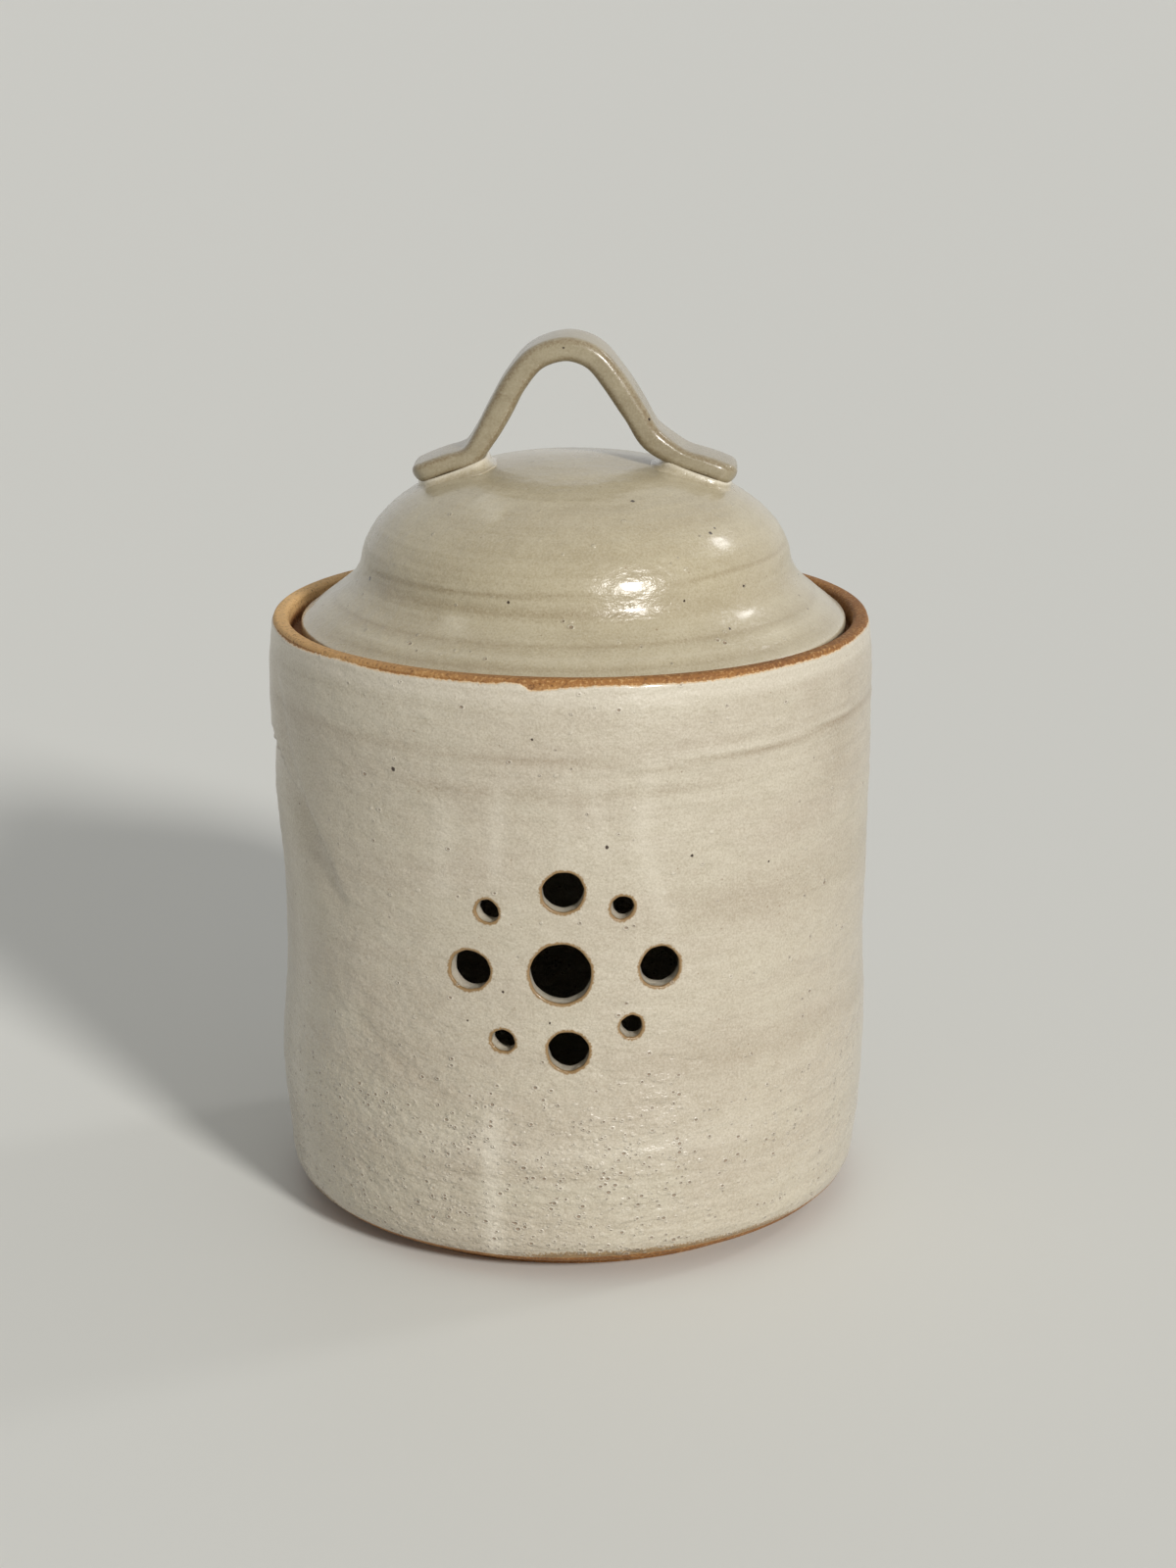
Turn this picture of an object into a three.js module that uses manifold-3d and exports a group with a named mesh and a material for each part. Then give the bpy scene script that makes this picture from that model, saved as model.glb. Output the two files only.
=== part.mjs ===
// Stoneware garlic keeper: a thrown jar with air vents cut through its front, and a domed lid
// with a pulled strap handle. The lid lies loose on a ledge inside the rim and lifts straight off.
// Millimetres, +Z up. The origin is the middle of the foot's underside, and the vents face -Y.

import * as THREE from 'three';
import { mergeVertices } from 'three/addons/utils/BufferGeometryUtils.js';
import Module from 'manifold-3d';

const wasm = await Module();
wasm.setup();

// Jar: wall and rim
const jarHeight = 141;
const rimRadius = 70;
const rimThickness = 3.9;
const rimRounding = 0.9;
const wallThickness = 4.6;
const wallSwell = 1.5;

// Jar: trimmed foot and floor
const footInset = 11.6;
const footHeight = 2.4;
const footWidth = 7.5;
const footFlare = 0.7;
const footRecess = 1.6;
const bellyRounding = 8.6;
const floorThickness = 5.6;
const floorRounding = 7;

// Jar: ledge inside the rim that carries the lid
const galleryDepth = 5.2;
const galleryWidth = 6.2;
const galleryNose = 3;
const galleryCove = 8;

// Jar: the side that a palm pressed in while the clay was soft
const pressDepth = 1.8;
const pressCentreHeight = 68;
const pressHalfHeight = 48;
const pressHalfWidth = 42;
const pressAngle = THREE.MathUtils.degToRad(188);

// Jar: vents, one in the middle and a ring of eight round it
const ventHeight = 75.4;
const ventRingRadius = 20.3;
const ventCentreBore = 13.7;
const ventLargeBore = 9.2;
const ventSmallBore = 5.2;
const ventFacing = THREE.MathUtils.degToRad(-92.1);

// Lid: edge, sloping flange and dome
const lidPlay = 2.7;
const lidShift = 1.2;
const lidThickness = 4.3;
const lidEdgeHeight = 4.3;
const lidEdgeRounding = 0.9;
const lidSeatWidth = 3.2;
const flangeWidth = 12.6;
const flangeRise = 10.8;
const domeRise = 26.8;
const domeFullness = 2.15;
const waistFlangeReach = 4.6;
const waistDomeReach = 4.2;

// Handle: a flat strap, its feet bedded in slip on the dome
const handleInset = 15.2;
const handleRise = 21.6;
const strapWidth = 15.5;
const strapThickness = 6;
const strapRounding = 2.6;
const strapEndRounding = 5;
const footThickness = 4.7;
const slipBed = 1.1;
const slipSpread = 1.3;
const slipHeight = 2;
const handleTurn = THREE.MathUtils.degToRad(-2.5);

// Clearances
const partGap = 0.3;
const cutOverrun = 2;

// How finely round forms are cut into facets
const latheSteps = 64;
const wallSteps = 8;
const domeSteps = 9;
const cornerSteps = 3;
const ventSteps = 20;
const strapSteps = 56;
const strapEdgeSteps = 2;

// Worked out from the sizes above
const galleryRadius = rimRadius - rimThickness;
const ledgeHeight = jarHeight - galleryDepth;
const footRadius = rimRadius - footInset;
const lidRadius = galleryRadius - lidPlay;
const domeRadius = lidRadius - flangeWidth;
const flangeTop = lidEdgeHeight + flangeRise;
const domeTop = flangeTop + domeRise;
const handleReach = domeRadius - handleInset;

// The wall's outline from the belly to the rim: how far up the wall, and how much of the swell
const wallOutlineShares = [
  [0, -0.7], [0.1, 0.2], [0.2, 0.5], [0.36, 0.35], [0.55, 0.4],
  [0.75, 0.6], [0.89, 1], [0.955, 0.6], [1, 0],
];

// Places of the vents round the middle one, across and up, as shares of the ring's radius
const largeVentShares = [[0.03, 0.94], [1.09, 0.04], [0.08, -0.9], [-1.01, -0.01]];
const smallVentShares = [[-0.8, 0.69], [0.67, 0.75], [0.77, -0.63], [-0.64, -0.8]];

// The handle's route, left to right: shares of its reach for the feet, which follow the dome,
// and of its reach and rise for the arch between them
const footRouteShares = [0.9, 0.78, 0.65];
const archRouteShares = [
  [-0.579, 0.079], [-0.478, 0.351], [-0.379, 0.642], [-0.244, 0.899], [-0.07, 1],
  [0.041, 0.979], [0.141, 0.893], [0.261, 0.654], [0.385, 0.34], [0.5, 0.042],
];

// Where along its reach the strap starts to flatten towards a foot, and where it is fully flat
const flatteningShares = [0.55, 0.8];

// How much of the strap's width is left where its rounded ends stop
const endWidthShare = 0.5;

const jarGlaze = new THREE.MeshStandardMaterial({ color: 0xbfb49f, roughness: 0.35, metalness: 0 });
const lidGlaze = new THREE.MeshStandardMaterial({ color: 0xb9ad95, roughness: 0.28, metalness: 0 });
const handleGlaze = new THREE.MeshStandardMaterial({ color: 0xa89c82, roughness: 0.22, metalness: 0 });
const slipGlaze = new THREE.MeshStandardMaterial({ color: 0xcfc3ad, roughness: 0.25, metalness: 0 });

const point = (across, up) => new THREE.Vector2(across, up);

// Points of a round corner, with its angles in quarter turns.
function corner(centreRadius, centreHeight, radius, fromQuarter, toQuarter) {
  const quarter = Math.PI / 2;
  const clockwise = toQuarter < fromQuarter;
  const curve = new THREE.EllipseCurve(
    centreRadius, centreHeight, radius, radius, fromQuarter * quarter, toQuarter * quarter, clockwise,
  );
  return curve.getPoints(cornerSteps);
}

// A form revolved about Z, from an outline that starts and ends on the axis.
function revolve(outline) {
  return new THREE.LatheGeometry(outline, latheSteps).rotateX(Math.PI / 2);
}

// Turns a closed three.js geometry into a solid that can be cut and joined.
function solidOf(geometry) {
  geometry.deleteAttribute('normal');
  geometry.deleteAttribute('uv');
  const merged = mergeVertices(geometry);
  const corners = merged.index.array;
  const kept = [];
  for (let first = 0; first < corners.length; first += 3) {
    const [a, b, c] = corners.slice(first, first + 3);
    if (a !== b && b !== c && c !== a) kept.push(a, b, c);
  }
  return new wasm.Manifold(new wasm.Mesh({
    numProp: 3,
    vertProperties: new Float32Array(merged.attributes.position.array),
    triVerts: new Uint32Array(kept),
  }));
}

// Turns a solid back into a named mesh.
function meshOf(name, solid, material) {
  const result = solid.getMesh();
  const geometry = new THREE.BufferGeometry();
  geometry.setAttribute('position', new THREE.BufferAttribute(result.vertProperties, 3));
  geometry.setIndex(new THREE.BufferAttribute(result.triVerts, 1));
  geometry.computeVertexNormals();
  const mesh = new THREE.Mesh(geometry, material);
  mesh.name = name;
  return mesh;
}

// The jar's outer wall, from the top of the belly's rounding to the start of the rim's.
function wallOutline() {
  const low = footHeight + bellyRounding;
  const high = jarHeight - rimRounding;
  const guide = wallOutlineShares.map(([upShare, swellShare]) => point(
    rimRadius + wallSwell * swellShare,
    low + (high - low) * upShare,
  ));
  return new THREE.SplineCurve(guide).getPoints(wallSteps);
}

// The inside of the wall, from the ledge's cove down to the floor's rounding.
function insideOutline(wall, coveFoot, floorCorner) {
  const above = wall.findIndex(({ y }) => y > coveFoot);
  const [low, high] = [wall[above - 1], wall[above]];
  const share = (coveFoot - low.y) / (high.y - low.y);
  const start = point(low.x + (high.x - low.x) * share, coveFoot);
  const inside = wall.filter(({ y }) => y > floorCorner && y < coveFoot).reverse();
  return [start, ...inside].map(({ x, y }) => point(x - wallThickness, y));
}

// Half of the jar's section: out along the foot, up the wall, over the rim, down the inside.
function jarOutline() {
  const wall = wallOutline();
  const bellyRadius = wall[0].x;
  const floorTop = footRecess + floorThickness;
  const floorCorner = floorTop + floorRounding;
  const noseRounding = galleryNose / 2;
  const noseRadius = galleryRadius - galleryWidth + noseRounding;
  const noseHeight = ledgeHeight - noseRounding;
  const coveFoot = ledgeHeight - galleryNose - galleryCove;
  return [
    point(0, footRecess),
    point(footRadius - footWidth - footRecess, footRecess),
    point(footRadius - footWidth, 0),
    point(footRadius, 0),
    point(footRadius + footFlare, footHeight),
    ...corner(bellyRadius - bellyRounding, footHeight + bellyRounding, bellyRounding, -1, 0),
    ...wall.slice(1),
    ...corner(rimRadius - rimRounding, jarHeight - rimRounding, rimRounding, 0, 1).slice(1),
    ...corner(galleryRadius + rimRounding, jarHeight - rimRounding, rimRounding, 1, 2),
    point(galleryRadius, ledgeHeight),
    ...corner(noseRadius, noseHeight, noseRounding, 1, 2),
    ...corner(noseRadius, noseHeight, noseRounding, 2, 3).slice(1),
    ...insideOutline(wall, coveFoot, floorCorner),
    ...corner(bellyRadius - wallThickness - floorRounding, floorCorner, floorRounding, 0, -1),
    point(0, floorTop),
  ];
}

// How far the palm pressed the wall in at a place on it, fading out smoothly all round.
function pressAt(angle, height) {
  const away = Math.atan2(Math.sin(angle - pressAngle), Math.cos(angle - pressAngle));
  const acrossShare = Math.min(1, Math.abs(away * rimRadius) / pressHalfWidth);
  const upShare = Math.min(1, Math.abs(height - pressCentreHeight) / pressHalfHeight);
  const fade = (share) => (1 + Math.cos(Math.PI * share)) / 2;
  return pressDepth * fade(acrossShare) * fade(upShare);
}

// Moves the wall in where it was pressed, its inside and outside alike.
function pressWall(geometry) {
  const places = geometry.attributes.position;
  for (let index = 0; index < places.count; index += 1) {
    const [x, y, z] = [places.getX(index), places.getY(index), places.getZ(index)];
    const radius = Math.hypot(x, y);
    const keptShare = radius > 0 ? 1 - pressAt(Math.atan2(y, x), z) / radius : 1;
    places.setXY(index, x * keptShare, y * keptShare);
  }
  return geometry;
}

// A cutter for one vent, square to the wall at its place across and up from the middle vent.
function ventCutter(bore, across, up) {
  const length = wallThickness + wallSwell + pressDepth + cutOverrun * 2;
  const outerEnd = rimRadius + wallSwell + cutOverrun;
  const cutter = new THREE.CylinderGeometry(bore / 2, bore / 2, length, ventSteps);
  cutter.rotateZ(Math.PI / 2);
  cutter.translate(outerEnd - length / 2, 0, ventHeight + up);
  cutter.rotateZ(ventFacing + across / rimRadius);
  return solidOf(cutter);
}

// The middle vent and the ring of large and small ones round it.
function ventCutters() {
  const ring = (bore, placeShares) => placeShares.map(([acrossShare, upShare]) => ventCutter(
    bore, acrossShare * ventRingRadius, upShare * ventRingRadius,
  ));
  return [
    ventCutter(ventCentreBore, 0, 0),
    ...ring(ventLargeBore, largeVentShares),
    ...ring(ventSmallBore, smallVentShares),
  ];
}

function makeJar() {
  const shell = solidOf(pressWall(revolve(jarOutline())));
  const jar = ventCutters().reduce((solid, cutter) => solid.subtract(cutter), shell);
  return meshOf('jar', jar, jarGlaze);
}

// A place on a dome that stands on a base: shares of its radius and rise, raised square to it.
function domePlace(reachShare, climbShare, dome, offset) {
  const slope = point(
    reachShare ** (domeFullness - 1) / dome.radius,
    climbShare ** (domeFullness - 1) / dome.rise,
  ).normalize();
  const surface = point(dome.radius * reachShare, dome.base + dome.rise * climbShare);
  return surface.addScaledVector(slope, offset);
}

// A dome's outline from its foot to the axis, raised square to its surface by an offset.
function domeOutline(dome, offset) {
  const outline = [];
  for (let step = 0; step <= domeSteps; step += 1) {
    const angle = (step / domeSteps) * (Math.PI / 2);
    const reachShare = step < domeSteps ? Math.cos(angle) ** (2 / domeFullness) : 0;
    outline.push(domePlace(reachShare, Math.sin(angle) ** (2 / domeFullness), dome, offset));
  }
  return outline;
}

// The dome of the lid, outside and in. The hollow follows the flange's underside to its foot.
const outerDome = { radius: domeRadius, base: flangeTop, rise: domeRise };

function hollowDome() {
  const slopeLength = Math.hypot(flangeWidth, flangeRise);
  const underDrop = (lidThickness * slopeLength) / flangeWidth;
  const base = flangeTop + (lidThickness * flangeRise) / flangeWidth - underDrop;
  return { radius: domeRadius - lidThickness, base, rise: domeTop - lidThickness - base };
}

// The height share of a dome where it has drawn in to a share of its radius, or the other way round.
const domeShare = (share) => (1 - share ** domeFullness) ** (1 / domeFullness);

// The hollow curve that turns the flange up into the dome, and the dome above it.
function waistOutline() {
  const flangeLength = Math.hypot(flangeWidth, flangeRise);
  const foot = point(domeRadius, flangeTop);
  const downFlange = point(flangeWidth, -flangeRise);
  const start = foot.clone().addScaledVector(downFlange, waistFlangeReach / flangeLength);
  const climbShare = waistDomeReach / domeRise;
  const end = domePlace(domeShare(climbShare), climbShare, outerDome, 0);
  const above = domeOutline(outerDome, 0).filter(({ y }) => y > end.y);
  return [...new THREE.QuadraticBezierCurve(start, foot, end).getPoints(cornerSteps), ...above];
}

// Half of the lid's section, with the seat at height zero: down the hollow side from the axis,
// out along the seat, up the edge, and back over the flange and the dome to the axis.
function lidOutline() {
  const edgeRadius = lidRadius - lidEdgeRounding;
  const flangeQuarter = Math.atan2(flangeWidth, flangeRise) / (Math.PI / 2);
  return [
    ...domeOutline(hollowDome(), 0).reverse(),
    point(lidRadius - lidSeatWidth, 0),
    ...corner(edgeRadius, lidEdgeRounding, lidEdgeRounding, -1, 0),
    ...corner(edgeRadius, lidEdgeHeight - lidEdgeRounding, lidEdgeRounding, 0, flangeQuarter),
    ...waistOutline(),
  ];
}

function makeLid() {
  return meshOf('lid', solidOf(revolve(lidOutline())), lidGlaze);
}

// A place over the dome on the handle's line, at a distance from the axis and off the surface.
function overDome(distance, offset) {
  const reachShare = Math.abs(distance) / domeRadius;
  const place = domePlace(reachShare, domeShare(reachShare), outerDome, offset);
  return new THREE.Vector3(Math.sign(distance) * place.x, 0, place.y);
}

// The middle line of the strap, from its left end to its right, made longer by a given amount.
function handleRoute(extra) {
  const lift = slipBed + strapThickness / 2;
  const foot = (side) => [
    overDome(side * (handleReach + extra), lift),
    ...footRouteShares.map((share) => overDome(side * share * handleReach, lift)),
  ];
  const arch = archRouteShares.map(([reachShare, riseShare]) => new THREE.Vector3(
    reachShare * handleReach, 0, domeTop + lift + riseShare * handleRise,
  ));
  return new THREE.CatmullRomCurve3([...foot(-1), ...arch, ...foot(1).reverse()], false, 'centripetal');
}

// The strap's section, with rounded edges, grown all round by a given amount.
function strapSection(growth) {
  const halfWidth = strapWidth / 2 + growth;
  const halfThickness = strapThickness / 2 + growth;
  const radius = strapRounding + growth;
  const right = halfWidth - radius;
  const top = halfThickness - radius;
  const section = new THREE.Shape();
  section.absarc(right, top, radius, 0, Math.PI / 2);
  section.absarc(-right, top, radius, Math.PI / 2, Math.PI);
  section.absarc(-right, -top, radius, Math.PI, Math.PI * 1.5);
  section.absarc(right, -top, radius, Math.PI * 1.5, Math.PI * 2);
  return section;
}

// How much of its height over the dome the strap keeps where its feet were pressed flat.
function keptHeight(distance) {
  const pressed = THREE.MathUtils.smoothstep(Math.abs(distance) / handleReach, ...flatteningShares);
  return 1 - pressed * (1 - footThickness / strapThickness);
}

// Shapes the strap's two feet: each is pressed flat on its slip, and its end is blunt and rounded.
function shapeFeet(geometry, growth) {
  const places = geometry.attributes.position;
  const end = handleRoute(growth).getPointAt(1).x;
  for (let index = 0; index < places.count; index += 1) {
    const distance = Math.abs(places.getX(index));
    const toEndShare = Math.min(1, (end - distance) / strapEndRounding);
    const roundShare = Math.sqrt(Math.max(0, 1 - (1 - toEndShare) ** 2));
    places.setY(index, places.getY(index) * (endWidthShare + (1 - endWidthShare) * roundShare));
    const bed = overDome(Math.min(distance, handleReach), slipBed).z;
    places.setZ(index, bed + (places.getZ(index) - bed) * keptHeight(distance));
  }
  return geometry;
}

// The strap as a solid, grown all round and at its ends by a given amount.
function strapSolid(growth) {
  const geometry = new THREE.ExtrudeGeometry(strapSection(growth), {
    steps: strapSteps,
    curveSegments: strapEdgeSteps,
    bevelEnabled: false,
    extrudePath: handleRoute(growth),
  });
  return solidOf(shapeFeet(geometry, growth));
}

// The slip that beds one foot: a thin pad under the strap with a low fillet round it.
function makeSlipBed(name, side) {
  const band = solidOf(revolve([
    ...domeOutline(outerDome, partGap).reverse(),
    ...domeOutline(outerDome, partGap + slipHeight),
  ]));
  const reach = handleReach + slipSpread + cutOverrun;
  const half = new THREE.BoxGeometry(reach, strapWidth * 2, domeTop + slipHeight * 2);
  half.translate((side * reach) / 2, 0, domeTop / 2);
  const pad = band.intersect(solidOf(half)).intersect(strapSolid(slipSpread));
  return meshOf(name, pad.subtract(strapSolid(partGap)), slipGlaze);
}

function makeHandle() {
  const group = new THREE.Group();
  group.rotation.z = handleTurn;
  group.add(
    meshOf('handle', strapSolid(0), handleGlaze),
    makeSlipBed('slip_bed_left', -1),
    makeSlipBed('slip_bed_right', 1),
  );
  return group;
}

// The lid lies on the ledge, pushed over within its play.
function makeLidAssembly() {
  const group = new THREE.Group();
  group.position.set(lidShift, 0, ledgeHeight + partGap);
  group.add(makeLid(), makeHandle());
  return group;
}

const keeper = new THREE.Group();
keeper.add(makeJar(), makeLidAssembly());

export default keeper;
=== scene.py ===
"""Dresses a stoneware garlic keeper: a thrown jar with air vents, a domed lid that lies loose on
the ledge inside its rim, and a pulled strap handle bedded in slip on the dome.

Sizes are millimetres until a mesh is made. Angles on turned forms are degrees from the front,
positive to the right.
"""

import logging
import math
from collections.abc import Callable, Mapping, Sequence
from dataclasses import dataclass, field, replace
from enum import Enum

import bpy
import numpy as np
from mathutils import Matrix, Vector
from mathutils.geometry import delaunay_2d_cdt


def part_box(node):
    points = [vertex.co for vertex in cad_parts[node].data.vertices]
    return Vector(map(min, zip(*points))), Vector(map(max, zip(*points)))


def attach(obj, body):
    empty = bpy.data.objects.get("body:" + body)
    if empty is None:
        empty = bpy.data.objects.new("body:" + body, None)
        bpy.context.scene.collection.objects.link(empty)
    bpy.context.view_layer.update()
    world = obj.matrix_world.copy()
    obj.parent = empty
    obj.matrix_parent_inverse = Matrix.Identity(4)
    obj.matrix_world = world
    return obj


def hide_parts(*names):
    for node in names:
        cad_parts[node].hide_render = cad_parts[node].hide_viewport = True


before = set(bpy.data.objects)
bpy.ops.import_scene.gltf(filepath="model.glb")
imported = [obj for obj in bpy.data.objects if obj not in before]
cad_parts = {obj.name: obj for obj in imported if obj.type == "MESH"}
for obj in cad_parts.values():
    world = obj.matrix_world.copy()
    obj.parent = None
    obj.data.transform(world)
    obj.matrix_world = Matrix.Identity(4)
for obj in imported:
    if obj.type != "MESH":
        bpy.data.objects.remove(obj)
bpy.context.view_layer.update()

log = logging.getLogger("garlic_keeper")

MM = 0.001
FRONT = -90.0

Array = np.ndarray
Colour = tuple[float, float, float, float]
Piece = bpy.types.Object
Socket = bpy.types.NodeSocket
Sockets = Mapping[str, Socket]
Value = Socket | float | tuple


class Slot(Enum):
    """The material slots, which name the glazes' materials."""

    JAR = "jar_glaze"
    LID = "lid_glaze"
    HANDLE = "handle_glaze"
    SLIP = "slip_glaze"


class Body(Enum):
    """The bodies that pieces ride on."""

    JAR = "jar"
    LID = "lid"


class Mark(Enum):
    """What each point of a surface knows about the glaze that lies on it."""

    LINE = "glaze_line"
    EDGE = "worn_edge"
    # The tone mark carries the glaze's own paler and darker places, and also the painted shade and painted
    # highlight of the jar's crease.
    TONE = "glaze_tone_and_painted_shade"


class Side(Enum):
    """The two feet of the handle."""

    LEFT = -1
    RIGHT = 1


def srgb(*channels: int) -> Colour:
    """A colour as a shader takes it, from its red, green and blue as they show, 0 to 255."""
    shares = [channel / 255 for channel in channels]
    return (*(
        share / 12.92 if share <= 0.04045 else ((share + 0.055) / 1.055) ** 2.4 for share in shares
    ), 1.0)


def smooth(share: Array | float) -> Array:
    """A smooth step from 0 to 1 as share goes from 0 to 1."""
    held = np.clip(share, 0.0, 1.0)
    return held * held * (3 - 2 * held)


def turned(degrees: Array | float) -> Array:
    """The angle about Z, in radians, of a place given in degrees from the front."""
    return np.radians(np.asarray(degrees, float) + FRONT)


def bell(away: Array | float, width: float) -> Array:
    """A smooth hump: 1 where away is 0, and down to a third at the width."""
    return np.exp(-((away / width) ** 2))


def hump(share: Array | float) -> Array:
    """A round hump: 1 where share is 0, and down to 0 where it is 1 or more."""
    return (1 + np.cos(np.pi * np.minimum(1, np.abs(share)))) / 2


def wrapped(degrees: Array | float) -> Array:
    """An angle in degrees, brought between -180 and 180."""
    return (degrees + 180) % 360 - 180


def spun(radius: Array | float, degrees: Array | float, heights: Array | float) -> Array:
    """The points at given radii, angles in degrees from the front, and heights."""
    across, out = radius * np.cos(turned(degrees)), radius * np.sin(turned(degrees))
    return np.stack(np.broadcast_arrays(across, out, heights), axis=-1)


def node_box(node: str) -> tuple[Array, Array]:
    """The lowest and the highest corner of one of the frame's parts, in millimetres."""
    low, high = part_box(node)
    return np.array(low) / MM, np.array(high) / MM


class Undulation:
    """Seeded, repeatable unevenness over a turned surface, as a sum of waves."""

    def __init__(self, seed: int, size: float, lengths: tuple[float, float], turns: int) -> None:
        """Chooses the waves.

        Args:
            seed: seed of the choice.
            size: how far the surface typically moves, in millimetres.
            lengths: shortest and longest wave up the form, in millimetres.
            turns: most waves once round the form.
        """
        count = 9
        choice = np.random.default_rng(seed)
        self.size = size * math.sqrt(2 / count)
        self.waves = list(zip(
            2 * math.pi / choice.uniform(*lengths, count),
            choice.integers(-turns, turns + 1, count),
            choice.uniform(0, 2 * math.pi, count),
        ))

    def at(self, angle: Array, height: Array | float) -> Array:
        """How far the surface moves at each angle (radians) and height (mm)."""
        waves = [np.sin(rate * height + turn * angle + start) for rate, turn, start in self.waves]
        return self.size * np.sum(waves, axis=0)


@dataclass(frozen=True)
class Stroke:
    """A mark drawn along a line on a turned form.

    Attributes:
        places: (degrees from the front, height) of the points that it runs through.
        width: how far it reaches to each side.
        relief: how far it stands out, or lies in where negative.
        tone: how much paler it is, or darker where negative.
        step: how far the wall to the right of the line's direction is pressed in.
        reach: how far to the right that pressing fades out.
        fade: over what length it fades out at both ends, 0 for ends that just stop.
    """

    places: tuple[tuple[float, float], ...]
    width: float
    relief: float = 0.0
    tone: float = 0.0
    step: float = 0.0
    reach: float = 12.0
    fade: float = 0.0

    def shape(self, across: Array, up: Array | float, radius: float) -> tuple[Array, Array]:
        """How far the mark moves the wall, and how it changes its tone, at each point.

        Args:
            across: places along the wall from the front, in millimetres.
            up: heights of the points.
            radius: the wall's radius, which turns degrees into millimetres.

        Returns:
            The outward move in millimetres, and the change of tone.
        """
        line = [(math.radians(degrees) * radius, height) for degrees, height in self.places]
        signed = np.full(np.shape(across), np.inf)
        for (x0, y0), (x1, y1) in zip(line, line[1:]):
            run, rise = x1 - x0, y1 - y0
            along = np.clip(((across - x0) * run + (up - y0) * rise) / math.hypot(run, rise) ** 2, 0, 1)
            away = np.hypot(across - x0 - along * run, up - y0 - along * rise)
            side = np.sign((across - x0) * rise - (up - y0) * run)
            signed = np.where(away < np.abs(signed), np.copysign(away, side), signed)
        core = bell(signed, self.width)
        moved = self.relief * core
        if self.step:
            onset = smooth(signed / self.width + 0.5)
            moved = moved - self.step * onset * bell(signed, self.reach)
        share = 1.0
        for x, y in (line[0], line[-1]) if self.fade else ():
            share = share * smooth(np.hypot(across - x, up - y) / self.fade)
        return moved * share, self.tone * core * share


def strokes_at(
    strokes: Sequence[Stroke], degrees: Array, up: Array | float, radius: float
) -> tuple[Array, Array]:
    """The moves and tones of several marks together.

    Args:
        strokes: the marks.
        degrees: places in degrees from the front.
        up: heights of the places.
        radius: the form's radius.

    Returns:
        The outward moves in millimetres, and the changes of tone.
    """
    across = np.radians(degrees) * radius
    shapes = [stroke.shape(across, up, radius) for stroke in strokes]
    return sum(moved for moved, _ in shapes), sum(tone for _, tone in shapes)


def corner_arc(before: Array, here: Array, after: Array, rounding: float, spacing: float) -> Array:
    """The points of one rounded corner of a path.

    Args:
        before: the corner before it.
        here: the corner itself.
        after: the corner after it.
        rounding: radius of the arc.
        spacing: gap between points on wide arcs.

    Returns:
        The points of the arc, one row each.
    """
    fine, wide = 0.32, 4.0
    into = (here - before) / np.linalg.norm(here - before)
    out = (after - here) / np.linalg.norm(after - here)
    bend = math.atan2(into[0] * out[1] - into[1] * out[0], float(into @ out))
    start = here - into * rounding * math.tan(abs(bend) / 2)
    centre = start + math.copysign(rounding, bend) * np.array([-into[1], into[0]])
    gap = spacing if rounding > wide else fine
    steps = max(4, math.ceil(rounding * abs(bend) / gap))
    turns = np.linspace(0, bend, steps + 1)[:, None]
    arm = start - centre
    swung = np.array([-arm[1], arm[0]])
    return centre + arm * np.cos(turns) + swung * np.sin(turns)


def rounded_path(corners: Sequence[tuple[float, float, float]], spacing: float) -> Array:
    """A path through corners that are rounded by true arcs.

    Args:
        corners: (radius from the axis, height, rounding) of each corner.
        spacing: the widest gap between points on the straight runs.

    Returns:
        The points of the path, one row each, none of them at the same place as the next.
    """
    places = np.array([corner[:2] for corner in corners], float)
    points = [places[0]]
    for index in range(1, len(corners)):
        rounding = corners[index][2]
        if rounding and index < len(corners) - 1:
            arc = corner_arc(places[index - 1], places[index], places[index + 1], rounding, spacing)
        else:
            arc = places[index:index + 1]
        start = points[-1]
        parts = max(1, math.ceil(np.linalg.norm(arc[0] - start) / spacing))
        points.extend(start + (arc[0] - start) * part / parts for part in range(1, parts))
        points.extend(arc)
    least = 0.02
    gaps = np.linalg.norm(np.diff(points, axis=0), axis=1)
    return np.array(points)[np.append(gaps > least, True)]


def spline(points: Array, steps: int, tightness: float = 0.5) -> Array:
    """A smooth curve through points.

    Args:
        points: the points, one row each.
        steps: how many pieces each stretch between two points is cut into.
        tightness: 0 for an even spline, 0.5 for one that follows the spacing of its points.

    Returns:
        The points of the curve, one row each.
    """
    spans = (((0, 1), (1, 2), (2, 3)), ((0, 2), (1, 3)), ((1, 2),))
    guide = np.vstack([2 * points[0] - points[1], points, 2 * points[-1] - points[-2]])
    curve = []
    for first in range(len(guide) - 3):
        level_start = guide[first:first + 4]
        gaps = np.linalg.norm(np.diff(level_start, axis=0), axis=1) ** tightness
        knots = np.concatenate([[0.0], np.cumsum(gaps)])
        for share in np.arange(steps) / steps:
            at = knots[1] + (knots[2] - knots[1]) * share
            level = list(level_start)
            for pairs in spans:
                level = [
                    level[k] + (level[k + 1] - level[k]) * (at - knots[a]) / (knots[b] - knots[a])
                    for k, (a, b) in enumerate(pairs)
                ]
            curve.append(level[0])
    curve.append(points[-1])
    return np.array(curve)


def lengths_along(path: Array) -> Array:
    """How far along a path each of its points lies."""
    return np.concatenate([[0.0], np.cumsum(np.linalg.norm(np.diff(path, axis=0), axis=1))])


def right_of(runs: Array) -> Array:
    """The unit direction square to each run, on its right: outward for a half outline."""
    return np.stack([runs[:, 1], -runs[:, 0]], axis=1) / np.linalg.norm(runs, axis=1)[:, None]


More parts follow.
